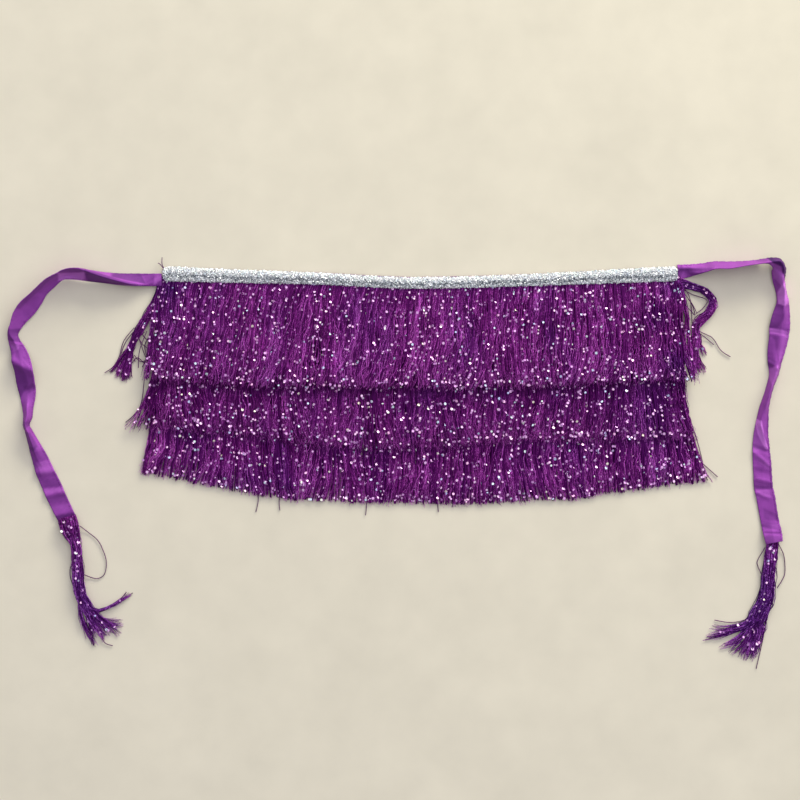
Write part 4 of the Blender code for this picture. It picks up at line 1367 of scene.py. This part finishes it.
def strip_cloth(name, columns, rows, place, wall, paint):
    """A shell over place(share along, share across), which gives x, y and its low side."""
    lower = []
    for i in range(columns + 1):
        lower.append([place(i / columns, j / rows) for j in range(rows + 1)])
    upper = [[(x, y, z + wall) for x, y, z in line] for line in lower]
    widths = [[(x, y) for x, y, _ in line] for line in lower]
    return cloth_mesh(name, upper, lower, widths, paint)


print("thin closed cloth ready")

# %% Ripples
# Radians for each unit along and across, and at the start: a sine a quarter turn on is a cosine.
RippleRow = namedtuple("RippleRow", "along across start", defaults=(0.0,))
QUARTER_TURN = math.pi / 2


def ripples(rows, along, across):
    """Waves that cross each other, so that cloth never lies dead flat and no edge is ruled."""
    waves = [math.sin(along * row.along + across * row.across + row.start) for row in rows]
    return math.prod(waves)


print("ripples ready")

# %% Base cloth and tapes
BASE_LOW = 0.00030
BASE_WALL = 0.00080
BASE_ENDS = ((-0.2950, 0.3470), (-0.3040, 0.3560))
BASE_INSET = 0.0035
BASE_BEYOND_ROOTS = 0.002
BASE_WAVE = 0.0002
BASE_RIPPLES = table(RippleRow, [(90, 3), (37, 5)])
TAPE_DEPTH = 0.010
TAPE_INSET = 0.006
TAPE_LOWS = {"fringe_top": 0.0018, "fringe_middle": 0.0015, "fringe_bottom": 0.0015}
TAPE_WALL = 0.0008
TAPE_WAVE = 0.00015
TAPE_RIPPLES = table(RippleRow, [(210, 0)])
STRIP_COLUMNS = 120
BASE_ROWS = 20
TAPE_ROWS = 3


def base_place(share, across):
    far, near = [ends[0] + (ends[1] - ends[0]) * share for ends in BASE_ENDS]
    section = row_at_x(WAIST, far)
    top = (section.y + section.width / 2) * MM - BASE_INSET
    bottom = strand_root_y("fringe_bottom", near) - BASE_BEYOND_ROOTS
    x = far + (near - far) * across
    y = top + (bottom - top) * across
    wave = max(ripples(BASE_RIPPLES, x, across), 0.0) * BASE_WAVE
    return x, y, BASE_LOW + wave


def tape_place(name):
    left, right = TAPE_ENDS[name]
    left, right = left + TAPE_INSET, right - TAPE_INSET

    def place(share, across):
        x = left + (right - left) * share
        wave = max(ripples(TAPE_RIPPLES, x, across), 0.0) * TAPE_WAVE
        return x, strand_root_y(name, x) + TAPE_DEPTH * (1 - across), TAPE_LOWS[name] + wave

    return place


mesh = strip_cloth("base", STRIP_COLUMNS, BASE_ROWS, base_place, BASE_WALL, BASE_CLOTH)
base = add_piece("base_band", mesh, "base_cloth", ["base_cloth"])
for name in TAPE_ENDS:
    mesh = strip_cloth("tape", STRIP_COLUMNS, TAPE_ROWS, tape_place(name), TAPE_WALL, BASE_CLOTH)
    add_piece("tape_" + name.split("_")[1], mesh, "fringe", [name])

# %% [markdown]
# ## Silver braid
# The waist edge is finished with a braid of cut metal foil, knitted so densely that only
# glitter shows. A domed tape gives its form. Thousands of small plates are then scattered
# over it and tipped at random: some mirror the lamp, some the dim side of the room.

# %% Braid form
BRAID_LOW = 0.0030
BRAID_WALL = 0.0006
BRAID_RISE = 0.0026
BRAID_LENGTH_STEPS = 200
BRAID_WIDTH_STEPS = 10
# Over this length at each end the braid narrows, to END_SHARE of its width.
BRAID_ROUND = 0.006
END_SHARE = 0.6
DOME_POWER = 2.6
KNIT_DEPTH = 0.00018
KNIT_RIPPLES = table(RippleRow, [(2.4, 0), (0, 9, QUARTER_TURN)])
# In millimetres: how far its middle lies below the waist line, and its edges inside the width.
BRAID_BELOW = 1.6
BRAID_INSET = 0.9
RAGGED = 0.35
RAGGED_RIPPLES = table(RippleRow, [(1.9, 2), (0.83, 1)])


def braid_line(i):
    """Points across the braid at one step along it, on its upper and its lower face."""
    left, right = BASE_ENDS[0]
    x = left + (right - left) * i / BRAID_LENGTH_STEPS
    section = row_at_x(WAIST, x)
    from_end = min((x - left) / BRAID_ROUND, (right - x) / BRAID_ROUND, 1.0)
    narrow = END_SHARE + (1 - END_SHARE) * math.sqrt(max(1 - (1 - from_end) ** 2, 0.0))
    high_line, low_line = [], []
    for j in range(BRAID_WIDTH_STEPS + 1):
        side = 1 - 2 * j / BRAID_WIDTH_STEPS
        ragged = RAGGED * ripples(RAGGED_RIPPLES, i, side)
        reach = (section.width / 2 - BRAID_INSET + ragged * abs(side)) * narrow
        y = (section.y - BRAID_BELOW + side * reach) * MM
        dome = BRAID_RISE * math.sqrt(max(1 - abs(side) ** DOME_POWER, 0.0))
        knit = KNIT_DEPTH * ripples(KNIT_RIPPLES, i, side)
        high_line.append((x, y, BRAID_LOW + BRAID_WALL + dome + knit))
        low_line.append((x, y, BRAID_LOW))
    return high_line, low_line


upper, lower = zip(*[braid_line(i) for i in range(BRAID_LENGTH_STEPS + 1)])
places = [[point[:2] for point in line] for line in lower]
mesh = cloth_mesh("braid", upper, lower, places, BRAID_TAPE)
braid = add_piece("braid_tape", mesh, "silver_trim", ["silver_trim"])

# %% The plate tree
PLATE_INPUTS = dict.fromkeys(["Density", "Size", "Thickness", "Tilt"], "Float")
PLATE_INPUTS |= {"Seed": "Int", "Paint": "Material"}
PLATE_SIDES = 4
FACING_UP = -0.2
# Painted shade is deepest here across the braid, where -1 is its edge at the fringe.
PAINTED_SHADE_LINE = -0.25
# Away from there plates are painted lighter and less shaded: how fast, and from where.
LIT_SLOPE = 1.15
LIT_START = 0.22
SHADE_SLOPE = -1.6
SHADE_START = 0.75
DEEPEST_SHADE = 0.6
LIT_TINT = 0.65
# Shares of a plate's size.
PLATE_LENGTHS = (0.35, 0.65)
PLATE_WIDTHS = (0.22, 0.5)


def plate_tree():
    group, tree, take, give = geometry_tree("plates over a surface", PLATE_INPUTS)
    up = tree.parts(tree.out("GeometryNodeInputNormal"))[2]
    facing = tree.out("FunctionNodeCompare", {0: up, 1: FACING_UP}, operation="GREATER_THAN")
    inputs = {0: take["Geometry"], "Selection": facing, 4: take["Density"]}
    inputs["Seed"] = take["Seed"]
    spread = tree.node("GeometryNodeDistributePointsOnFaces", inputs).outputs
    draw = drawer(tree, take["Seed"], tree.out("GeometryNodeInputIndex"))
    tilts = [draw(step, -1.0, 1.0) * take["Tilt"] for step in (1, 2)]
    turn = tree.vector(*tilts, draw(3, -1.0, 1.0) * math.pi)
    turn = tree.out("FunctionNodeEulerToRotation", {0: turn})
    inputs = {0: spread["Rotation"], 1: turn}
    turn = tree.out("FunctionNodeRotateRotation", inputs, rotation_space="LOCAL")
    plate = disc(tree, PLATE_SIDES, take["Size"], take["Thickness"])
    scale = tree.vector(draw(4, *PLATE_LENGTHS), draw(5, *PLATE_WIDTHS), 1.0)
    plates = instanced(tree, spread[0], plate, Rotation=turn, Scale=scale)
    # Plates are painted lighter towards both edges and darker along a line below the middle.
    tint = draw(6)
    away = tree.math("ABSOLUTE", read(tree, "across") - PAINTED_SHADE_LINE)
    lit = tree.clamp(away * LIT_SLOPE - LIT_START)
    shaded = tree.clamp(away * SHADE_SLOPE + SHADE_START, 0.0, DEEPEST_SHADE)
    lit_plate = tint * (1.0 - LIT_TINT) + LIT_TINT
    tint = tree.mix(lit, tint * (1.0 - shaded), lit_plate)
    plates = stored(tree, plates, "tint", tint, domain="INSTANCE")
    finish_tree(tree, give, plates, take["Paint"])
    return group


PLATE_TREE = plate_tree()
print("tree", PLATE_TREE.name, "with", len(PLATE_TREE.nodes), "nodes")


# %% Strew the plates
def across_kept(mesh):
    """Keep how far across the braid each vertex lies: -1 at the fringe, 1 at the waist edge."""
    across = []
    for vertex in mesh.vertices:
        section = row_at_x(WAIST, vertex.co.x)
        above = vertex.co.y / MM - section.y + BRAID_BELOW
        across.append(above / (section.width / 2 - BRAID_INSET))
    keep(mesh, "across", across)
    return mesh


flakes = grown(
    "flakes", across_kept(braid.data.copy()), PLATE_TREE, density=430000.0, size=0.0032,
    thickness=0.0002, tilt=0.85, seed=83, paint=FLAKE,
)
add_piece("braid_flakes", flakes, "silver_trim", ["silver_trim"])

# %% [markdown]
# ## Satin ties
# Each tie is a folded strip of satin that twists, stands up on its edge and lies down again
# on its way to the tassel. The same sections as the solid's give the large form. Creases are
# added where satin bends: each is a short line in plan with a height and a width.

# %% Sections across the ties
# In millimetres. The crest lies across the tie, from -1 at its inner edge to 1 at its outer
# one. Height is the crest's, and outer and inner are the edges'. Curl bends the slopes.
TieRow = namedtuple("TieRow", "x y width crest height outer inner curl", defaults=(1,))
TIES = table(TieRow, {
    "tie_left": [
        (-296.5, 230, 15.5, 0, 3, 3, 3), (-313, 230, 15.8, -0.6, 4, 1, 3),
        (-328, 230, 15.8, -0.95, 8, 0, 7), (-350, 231, 14.1, -0.45, 13, 0, 2),
        (-370, 233, 13, 0.1, 16, 3, 0), (-386, 235, 13.5, 0.6, 16, 8, 0),
        (-401, 237, 14.2, 0.95, 18, 17, 0, 1.6), (-414, 236.5, 11.9, 1, 19, 19, 0, 2.2),
        (-423, 233.4, 9.2, 1, 19, 19, 0, 2), (-434.6, 225.4, 12.2, 1, 20, 20, 0, 2),
        (-445, 216, 13, 1, 18, 18, 0, 2), (-453, 206, 17, 1, 16, 16, 0, 2),
        (-463, 195, 20.9, 1, 14, 14, 0, 2), (-472, 184, 18.8, 1, 12, 12, 0, 1.6),
        (-478, 173, 13.8, 1, 10, 10, 0, 1.2), (-482, 163, 12.1, 0.7, 9, 7, 0),
        (-481, 154, 14.1, 0, 5, 0, 1), (-476, 143, 18.5, 0, 4, 2, 2),
        (-472, 131, 22.4, 0, 7, 6, 4), (-468, 116, 23.8, 0, 8, 3, 8),
        (-466, 100, 23.2, 0, 3, 1, 5), (-464, 85, 19.9, 0, 2, 0, 1), (-464, 70, 13.5, 0, 7, 0, 0),
        (-464, 59, 10.8, 0, 9, 0, 0), (-466, 49, 7.8, 0, 11, 0, 0), (-463, 41, 8.8, 0, 10, 0, 0),
        (-458, 29, 12.5, 0.2, 8, 0, 0), (-450, 10, 18.9, 0.3, 4, 0, 0),
        (-443, -8, 22.5, 0, 1, 0, 0), (-434, -28, 24.1, 0, 0, 0, 0),
        (-425, -48, 23.8, 0, 0, 0, 0), (-417, -64, 23, 0, 0, 0, 0), (-412, -75, 22.5, 0, 0, 0, 0),
    ],
    "tie_right": [
        (348, 240, 17.6, 0, 0, 0, 0), (359, 241, 16.4, 0, 0, 0, 0),
        (370, 243, 13.6, -0.8, 8, 0, 6), (381, 245, 11.8, -1, 14, 0, 14),
        (394, 248, 10, -1, 17, 0, 17), (411, 248, 9.6, -1, 19, 0, 19),
        (431, 250, 6.8, -1, 20, 0, 20), (448, 252, 6, -1, 20, 0, 20),
        (460, 253, 8.1, -0.5, 20, 4, 16), (471, 250, 15.5, 0.4, 17, 2, 6, 0.8),
        (474, 241, 18, 0.5, 15, 2, 3, 0.8), (474, 230, 15.5, 0.5, 13, 0, 2),
        (477, 216, 13, 0.4, 12, 0, 0), (479, 202, 15.2, 0.1, 9, 0, 0),
        (477, 186, 22.2, 0.2, 9, 0, 3), (475, 171, 25.6, 0.1, 6, 2, 3),
        (474, 158, 24.4, 0.3, 5, 0, 2), (471, 142, 22, 0.4, 4, 0, 1),
        (469, 128, 17.5, 0.5, 7, 0, 0), (468, 112, 11.2, 0.2, 10, 0, 0),
        (464, 99, 8.8, 0, 11, 0, 0), (460, 85, 8.9, 0, 11, 0, 0), (456, 70, 11.5, 0, 9, 0, 0),
        (454, 55, 14.8, -0.4, 7, 0, 0), (452, 38, 17.9, 0.2, 5, 0, 0),
        (452, 21, 21.1, 0.6, 3, 0, 0), (453, 5, 22.6, 0.3, 2, 0, 0), (454, -11, 23, 0, 1, 0, 0),
        (455, -28, 23.5, 0, 1, 0, 0), (458, -42, 23.5, 0, 0, 0, 0), (461, -60, 22.9, 0, 0, 0, 0),
        (464, -76, 23, 0, 1, 0, 0), (466, -87, 23, 0, 6, 4, 4), (468, -98, 21.6, 0, 6, 4, 4),
    ],
})
# Seen along the tie from the band, its outer edge lies on this side: 1 is left, -1 right.
OUTER_SIDE = {"tie_left": -1, "tie_right": 1}
print("tie sections", sum(len(rows) for rows in TIES.values()))

# %% Creases in the satin
# In millimetres: a crease runs from (x0, y0) to (x1, y1), and fades over its reach.
CreaseRow = namedtuple("CreaseRow", "x0 y0 x1 y1 rise reach")
CREASES = table(CreaseRow, {
    "tie_left": [
        (-298, 236, -314, 226, -0.7, 1.4), (-298, 239, -326, 234, -0.5, 1.6),
        (-391, 242, -359, 231, 0.9, 2.2), (-359, 231, -324, 222, 0.9, 2.2),
        (-421, 236, -389, 238, -1.6, 2.6), (-421, 236, -451, 215, -1.2, 2.6),
        (-449, 214, -471, 192, -0.9, 3), (-449, 208, -466, 178, 0.9, 4),
        (-489, 152, -472, 149, 0.7, 1.3), (-485, 130, -458, 116, 2.6, 5),
        (-469, 129, -456, 115, 0.5, 1), (-474, 82, -466, 91, -2.2, 4),
        (-466, 91, -455, 95, -2.2, 4), (-472, 84, -466, 90, 0.6, 1), (-466, 90, -458, 94, 0.6, 1),
        (-470, 42, -462, 50, -0.8, 3), (-465, 49, -449, 11, 0.7, 2.6),
        (-454, -12, -429, -8, 2.4, 4.6), (-445, -31, -422, -28, -0.9, 2),
        (-441, -40, -419, -35, 1.7, 3.6), (-435, -54, -412, -49, -0.9, 2),
        (-430, -64, -409, -59, 1.4, 3.4), (-461, 15, -439, 19, 1, 4),
    ],
    "tie_right": [
        (346, 245, 391, 244, 1.9, 2.8), (354, 247, 353, 231, 1.4, 3.5),
        (396, 245, 432, 246, -0.5, 1.4), (429, 252, 454, 256, 0.6, 2),
        (461, 252, 478, 238, -1.6, 3), (478, 238, 480, 224, -1.4, 3),
        (465, 240, 475, 218, -1, 2.5), (472, 212, 482, 226, 1.4, 3), (470, 201, 486, 205, 1.6, 5),
        (460, 170, 486, 162, -1.6, 4), (461, 169, 485, 163, 0.7, 1.4),
        (469, 155, 474, 122, -0.8, 3), (459, 129, 471, 120, 1.2, 2.4),
        (459, 121, 472, 122, -0.8, 2), (448, 52, 461, 26, 0.9, 1.5),
        (441, 22, 461, 15, -1.2, 2.6), (442, 15, 462, -1, 1.3, 2.8), (445, -8, 461, -12, -0.6, 3),
        (448, -19, 462, -22, 1.2, 2.4), (441, -31, 465, -31, -1.5, 2.6),
        (446, -36, 461, -42, 0.9, 2.4), (456, -58, 475, -71, -0.6, 3),
        (451, -75, 476, -79, 0.6, 3), (454, -86, 478, -87, -0.9, 1.4),
    ],
})
CREASE_END = 3.0


def crease_height(name, x, y):
    """Ridges and troughs at a point of the plan, in millimetres."""
    height = 0.0
    for crease in CREASES[name]:
        run = (crease.x1 - crease.x0, crease.y1 - crease.y0)
        length = math.hypot(*run)
        ahead = ((x - crease.x0) * run[0] + (y - crease.y0) * run[1]) / length
        beside = ((x - crease.x0) * run[1] - (y - crease.y0) * run[0]) / length
        over = max(-ahead, ahead - length, 0.0)
        fade = (beside / crease.reach) ** 2 + (over / CREASE_END) ** 2
        height += crease.rise * math.exp(-fade)
    return height


print("creases", sum(len(rows) for rows in CREASES.values()))

# %% [markdown]
# ## Facets of painted sheen
# Satin's long floats look light from one side and deep from another. So each facet of a
# twisted tie gets a painted sheen of its own: a painted highlight above 0, painted shade below.
# A facet is given by its corners in the plan, and each point of the cloth keeps its painted
# sheen for the material to read.

# %% Facets of the satin
# Below 0 a facet is painted deep, as shade, and above 0 light, as a highlight.
# Corners are in millimetres.
FacetRow = namedtuple("FacetRow", "sheen corners")
FACETS = table(FacetRow, {
    "tie_left": [
        (-0.58, [(-391, 242), (-374, 238), (-346, 229), (-309, 221), (-349, 224), (-374, 226),
            (-394, 229)]),
        (-0.3, [(-444, 226), (-426, 241), (-411, 246), (-394, 245), (-386, 240), (-399, 239),
            (-416, 240), (-434, 230), (-472, 194), (-481, 192)]),
        (0.8, [(-424, 238), (-391, 239), (-390, 229), (-426, 229)]),
        (0.15, [(-389, 245), (-369, 244), (-354, 240), (-359, 234), (-371, 238)]),
        (-0.6, [(-359, 240), (-324, 240), (-316, 225), (-339, 229), (-359, 234)]),
        (-0.25, [(-323, 240), (-306, 240), (-306, 223), (-315, 225)]),
        (0.3, [(-304, 236), (-295, 238), (-295, 230), (-309, 222)]),
        (-0.45, [(-307, 220), (-300, 228), (-295, 230), (-295, 220)]),
        (-0.45, [(-488, 168), (-474, 169), (-472, 152), (-488, 154)]),
        (0.25, [(-486, 150), (-474, 150), (-474, 143), (-484, 140)]),
        (-0.15, [(-474, 146), (-464, 141), (-456, 125), (-455, 114), (-462, 119), (-471, 125),
            (-479, 135)]),
        (-0.35, [(-489, 148), (-482, 144), (-480, 126), (-486, 126)]),
        (-0.5, [(-484, 125), (-474, 123), (-465, 113), (-463, 100), (-470, 89), (-474, 80),
            (-479, 95)]),
        (-0.28, [(-474, 123), (-462, 119), (-456, 111), (-457, 96), (-464, 92), (-470, 89),
            (-463, 100), (-465, 113)]),
        (0.05, [(-474, 80), (-469, 88), (-459, 94), (-452, 95), (-456, 70), (-461, 54),
            (-471, 55), (-471, 68)]),
        (-0.4, [(-471, 54), (-460, 52), (-464, 44), (-470, 44)]),
        (-0.5, [(-469, 41), (-460, 39), (-451, 22), (-456, 15), (-465, 21)]),
        (-0.25, [(-465, 21), (-451, 22), (-436, 12), (-437, 6), (-454, 2), (-449, -8),
            (-446, -20), (-454, -15), (-464, 11)]),
        (0.22, [(-454, 2), (-436, 6), (-430, -9), (-446, -14)]),
        (-0.32, [(-451, -19), (-425, -18), (-421, -28), (-445, -30)]),
        (0.24, [(-445, -31), (-421, -28), (-419, -34), (-441, -38)]),
        (-0.3, [(-441, -40), (-416, -35), (-412, -46), (-438, -50)]),
        (0.08, [(-436, -52), (-411, -48), (-409, -55), (-432, -59)]),
        (-0.5, [(-430, -65), (-402, -60), (-398, -74), (-424, -76)]),
    ],
    "tie_right": [
        (-0.3, [(345, 244), (366, 245), (389, 245), (392, 241), (374, 236), (345, 229)]),
        (-0.14, [(381, 254), (411, 256), (411, 243), (404, 244), (381, 246)]),
        (0, [(411, 256), (442, 258), (446, 252), (432, 248), (420, 244), (411, 243)]),
        (-0.3, [(444, 259), (462, 261), (466, 252), (452, 252), (446, 252)]),
        (-0.9, [(456, 263), (474, 262), (483, 256), (484, 246), (484, 232), (479, 234),
            (475, 246), (463, 251)]),
        (0.35, [(462, 250), (472, 249), (479, 234), (476, 222), (468, 232)]),
        (-0.05, [(468, 234), (476, 222), (472, 209), (466, 220)]),
        (1, [(476, 222), (483, 232), (488, 202), (480, 197), (473, 200), (472, 214)]),
        (-0.36, [(472, 200), (477, 199), (481, 190), (479, 180), (472, 170), (459, 170), (465, 190)]),
        (0.35, [(459, 170), (474, 169), (488, 164), (485, 158), (471, 162), (459, 164)]),
        (0.18, [(476, 158), (486, 159), (481, 132), (474, 126), (472, 142)]),
        (-0.2, [(459, 162), (474, 160), (471, 140), (468, 122), (459, 122)]),
        (-0.25, [(460, 134), (471, 128), (465, 120), (459, 121)]),
        (0.34, [(461, 118), (475, 125), (474, 109), (464, 95)]),
        (0.95, [(444, 57), (452, 54), (455, 36), (461, 19), (457, 19), (448, 36), (445, 50)]),
        (0.18, [(440, 46), (445, 50), (449, 36), (457, 19), (442, 14)]),
        (0.18, [(442, 13), (454, 8), (466, -3), (461, -7), (449, 2)]),
        (-0.35, [(459, 66), (464, 49), (465, 30), (469, -30), (464, -30), (462, 18), (459, 42)]),
        (-0.3, [(441, -21), (465, -25), (466, -31), (441, -31)]),
        (0.2, [(445, -32), (462, -32), (465, -42), (454, -41)]),
        (-0.25, [(471, -39), (475, -70), (471, -70), (468, -42)]),
        (-0.25, [(455, -56), (475, -64), (477, -72), (456, -68)]),
        (-0.3, [(451, -71), (477, -75), (478, -83), (453, -79)]),
        (0.1, [(455, -90), (478, -88), (479, -101), (456, -101)]),
    ],
})
FACET_EDGE = 1.5


def facet_share(corners, x, y):
    """1 inside a facet and 0 outside it, with a soft edge between."""
    inside = False
    nearest = math.inf
    for (x0, y0), (x1, y1) in zip(corners, corners[1:] + corners[:1]):
        run = (x1 - x0, y1 - y0)
        share = ((x - x0) * run[0] + (y - y0) * run[1]) / (run[0] ** 2 + run[1] ** 2)
        share = min(max(share, 0.0), 1.0)
        nearest = min(nearest, math.hypot(x0 + run[0] * share - x, y0 + run[1] * share - y))
        if (y0 > y) != (y1 > y) and x < x0 + (y - y0) * run[0] / run[1]:
            inside = not inside
    signed = nearest if inside else -nearest
    return min(max(0.5 + signed / FACET_EDGE, 0.0), 1.0)


def painted_sheen_at(name, x, y):
    """The satin's painted sheen and shade at a point in metres."""
    shares = [row.sheen * facet_share(row.corners, x / MM, y / MM) for row in FACETS[name]]
    return sum(shares)


print("facets", sum(len(rows) for rows in FACETS.values()))

# %% [markdown]
# ## The folded strips
# A tie is built section by section. Each has a crest and two edges, and creases, puckers
# along the stitched edge and a frayed outer edge are laid on top. Then the line gets a wall.

# %% A section of a tie, in millimetres
TIE_ACROSS = 20
TIE_WALL = 0.9
LOWEST_CREASE = 0.5
PUCKER_FROM = 0.55
PUCKER_RISE = 0.30
PUCKER_PITCH = 5.5
UNEVEN = 0.16
UNEVEN_RIPPLES = table(RippleRow, [(0.31, 2.1), (-0.17, 3, QUARTER_TURN)])
FRAY = {"tie_left": 0.15, "tie_right": 0.4}
FRAY_POWER = 6
FRAY_RIPPLES = table(RippleRow, [(1.1, 0), (0.43, 1)])
SOFT_FLOOR = 0.6
STEEPEST_CREST = 0.999


def tie_profile(row, place):
    """The height of a tie's middle surface at place across it, -1 inner to 1 outer."""
    crest = min(max(row.crest, -STEEPEST_CREST), STEEPEST_CREST)
    if place < crest:
        share = (place + 1) / (crest + 1)
        edge = row.inner
    else:
        share = (1 - place) / (1 - crest)
        edge = row.outer
    return edge + (row.height - edge) * max(share, 0.0) ** row.curl


def tie_line(name, row, across, far):
    """A section's points (across, height). far is how far along the tie it lies."""
    line = []
    for k in range(TIE_ACROSS + 1):
        place = -1 + 2 * k / TIE_ACROSS
        fray = ripples(FRAY_RIPPLES, far, place)
        u = row.width / 2 * place + FRAY[name] * fray * max(place, 0.0) ** FRAY_POWER
        height = tie_profile(row, place) + LOWEST_CREASE
        height += crease_height(name, row.x + across[0] * u, row.y + across[1] * u)
        at_edge = max(0.0, abs(place) - PUCKER_FROM) / (1 - PUCKER_FROM)
        height += at_edge * PUCKER_RISE * math.sin(math.tau * far / PUCKER_PITCH)
        height += UNEVEN * ripples(UNEVEN_RIPPLES, far, place)
        # Troughs flatten softly on the floor.
        line.append((u, (height + math.hypot(height, SOFT_FLOOR)) / 2))
    return line


def wall_faces(line):
    """Both faces of a wall whose middle follows line, a list of (across, height)."""
    faces = {1: [], -1: []}
    last = len(line) - 1
    for k, (u, z) in enumerate(line):
        u0, z0 = line[max(k - 1, 0)]
        u1, z1 = line[min(k + 1, last)]
        run = math.hypot(u1 - u0, z1 - z0)
        normal = (-(z1 - z0) / run, (u1 - u0) / run)
        for face, points in faces.items():
            reach = face * TIE_WALL / 2
            points.append((u + normal[0] * reach, z + normal[1] * reach))
    return faces[1], faces[-1]


print("a section has", TIE_ACROSS + 1, "points")

# %% Build the ties
TIE_STEPS = 9
TIE_LOWEST = 0.05
SEAM_PLACE = {"tie_left": 2, "tie_right": 18}
SEAM_LIFT = 0.0001


def stations_along(rows):
    """Sections close together, and how far along the tie each one lies."""
    stations = [row_at(rows, i / TIE_STEPS) for i in range((len(rows) - 1) * TIE_STEPS + 1)]
    distance = [0.0]
    for one, other in zip(stations, stations[1:]):
        distance.append(distance[-1] + math.hypot(other.x - one.x, other.y - one.y))
    return stations, distance


def tie_mesh(name, stations, distance):
    """The tie's mesh, and the line of its seam."""
    upper, lower, widths = [], [], []
    for i, row in enumerate(stations):
        before = stations[max(i - TIE_STEPS, 0)]
        after = stations[min(i + TIE_STEPS, len(stations) - 1)]
        run = (after.x - before.x, after.y - before.y)
        length = math.hypot(*run) * OUTER_SIDE[name]
        across = (-run[1] / length, run[0] / length)
        line = tie_line(name, row, across, distance[i])
        high, low = wall_faces(line)
        # The lower face comes to lie as low as the line in the middle of the wall.
        lift = min(z for _, z in line) - min(z for _, z in low)
        for grid, points in ((upper, high), (lower, low)):
            grid.append([
                (
                    (row.x + across[0] * u) * MM,
                    (row.y + across[1] * u) * MM,
                    max(z + lift, TIE_LOWEST) * MM,
                )
                for u, z in points
            ])
        widths.append([(u * MM, distance[i] * MM) for u, _ in line])
    mesh = cloth_mesh(name, upper, lower, widths, SATIN)
    # Each point keeps the painted sheen and shade of the facets it lies in.
    keep(mesh, "sheen", [painted_sheen_at(name, *vertex.co[:2]) for vertex in mesh.vertices])
    seam = [line[SEAM_PLACE[name]] for line in upper]
    return mesh, [(x, y, z + SEAM_LIFT) for x, y, z in seam]


seams = []
for name, rows in TIES.items():
    stations, distance = stations_along(rows)
    mesh, seam = tie_mesh(name, stations, distance)
    seams.append(seam)
    tie = add_piece("satin_" + name, mesh, "satin", [name])
    length = round(distance[-1] * MM, 3)
    print(name, "lies along", length, "m")

# %% [markdown]
# ## Stitches
# The ties are closed with a row of machine stitches, and more rows on the back of the base
# cloth hold the braid and the tapes. A stitch is a short bowed thread, so a tree sets one
# after another along each seam and skins them as yarn.

# %% The stitch tree
STITCH_SHARE = 0.33
STITCH_BENDS = 3


def stitch_tree():
    """Short bowed threads, one behind the other along every chain."""
    inputs = {"Pitch": "Float", "Radius": "Float", "Shade": "Float", "Paint": "Material"}
    group, tree, take, give = geometry_tree("stitches along chains", inputs)
    lines = tree.out("GeometryNodeMeshToCurve", {0: take["Geometry"]})
    inputs = {0: lines, 3: take["Pitch"]}
    lines = tree.out("GeometryNodeResampleCurve", inputs, mode="LENGTH")
    ahead = tree.out("GeometryNodeInputTangent")
    turn = tree.out("FunctionNodeAlignRotationToVector", {2: ahead}, axis="X")
    reach = take["Pitch"] * STITCH_SHARE
    sink = take["Radius"] * -1.0
    inputs = {
        "Resolution": STITCH_BENDS,
        "Start": tree.vector(reach * -1.0, 0.0, sink),
        "Middle": tree.vector(0.0, 0.0, take["Radius"]),
        "End": tree.vector(reach, 0.0, sink),
    }
    stitch = tree.out("GeometryNodeCurveQuadraticBezier", inputs)
    lines = instanced(tree, lines, stitch, Rotation=turn)
    lines = tree.out("GeometryNodeRealizeInstances", {0: lines})
    skin = yarn_skin(tree, lines, take["Radius"], SIDES, take["Shade"], PLAIN_BLUENESS)
    finish_tree(tree, give, skin, take["Paint"])
    return group


STITCH_TREE = stitch_tree()
print("tree", STITCH_TREE.name, "with", len(STITCH_TREE.nodes), "nodes")

# %% Machine stitches
STITCH_LOOK = dict(pitch=0.0030, radius=0.00022, shade=0.05, paint=YARN)
ROW_START = -0.29
ROW_LENGTH = 0.632
ROW_STEPS = 80
ROW_PLACES = [ROW_START + ROW_LENGTH * i / ROW_STEPS for i in range(ROW_STEPS + 1)]
BRAID_ROW_OFFSETS = (-0.0055, 0.0040)
TAPE_ROW_OFFSET = 0.006


def underside_rows():
    """Stitch rows on the back of the base cloth: two hold the braid, one each tape."""
    rows = []
    for offset in BRAID_ROW_OFFSETS:
        rows.append([(x, waist_y(x) + offset, STITCH_LOOK["radius"]) for x in ROW_PLACES])
    for name in TAPE_ENDS:
        roots = [(x, strand_root_y(name, x)) for x in ROW_PLACES]
        rows.append([(x, y + TAPE_ROW_OFFSET, STITCH_LOOK["radius"]) for x, y in roots])
    return rows


STITCHED = {
    "stitches_ties": (seams, "satin", list(TIES)),
    "stitches_base": (underside_rows(), "base_cloth", ["base_cloth"]),
}
for name, (lines, slot, nodes) in STITCHED.items():
    mesh = grown(name, chain_mesh(name, lines), STITCH_TREE, **STITCH_LOOK)
    add_piece(name, mesh, slot, nodes)
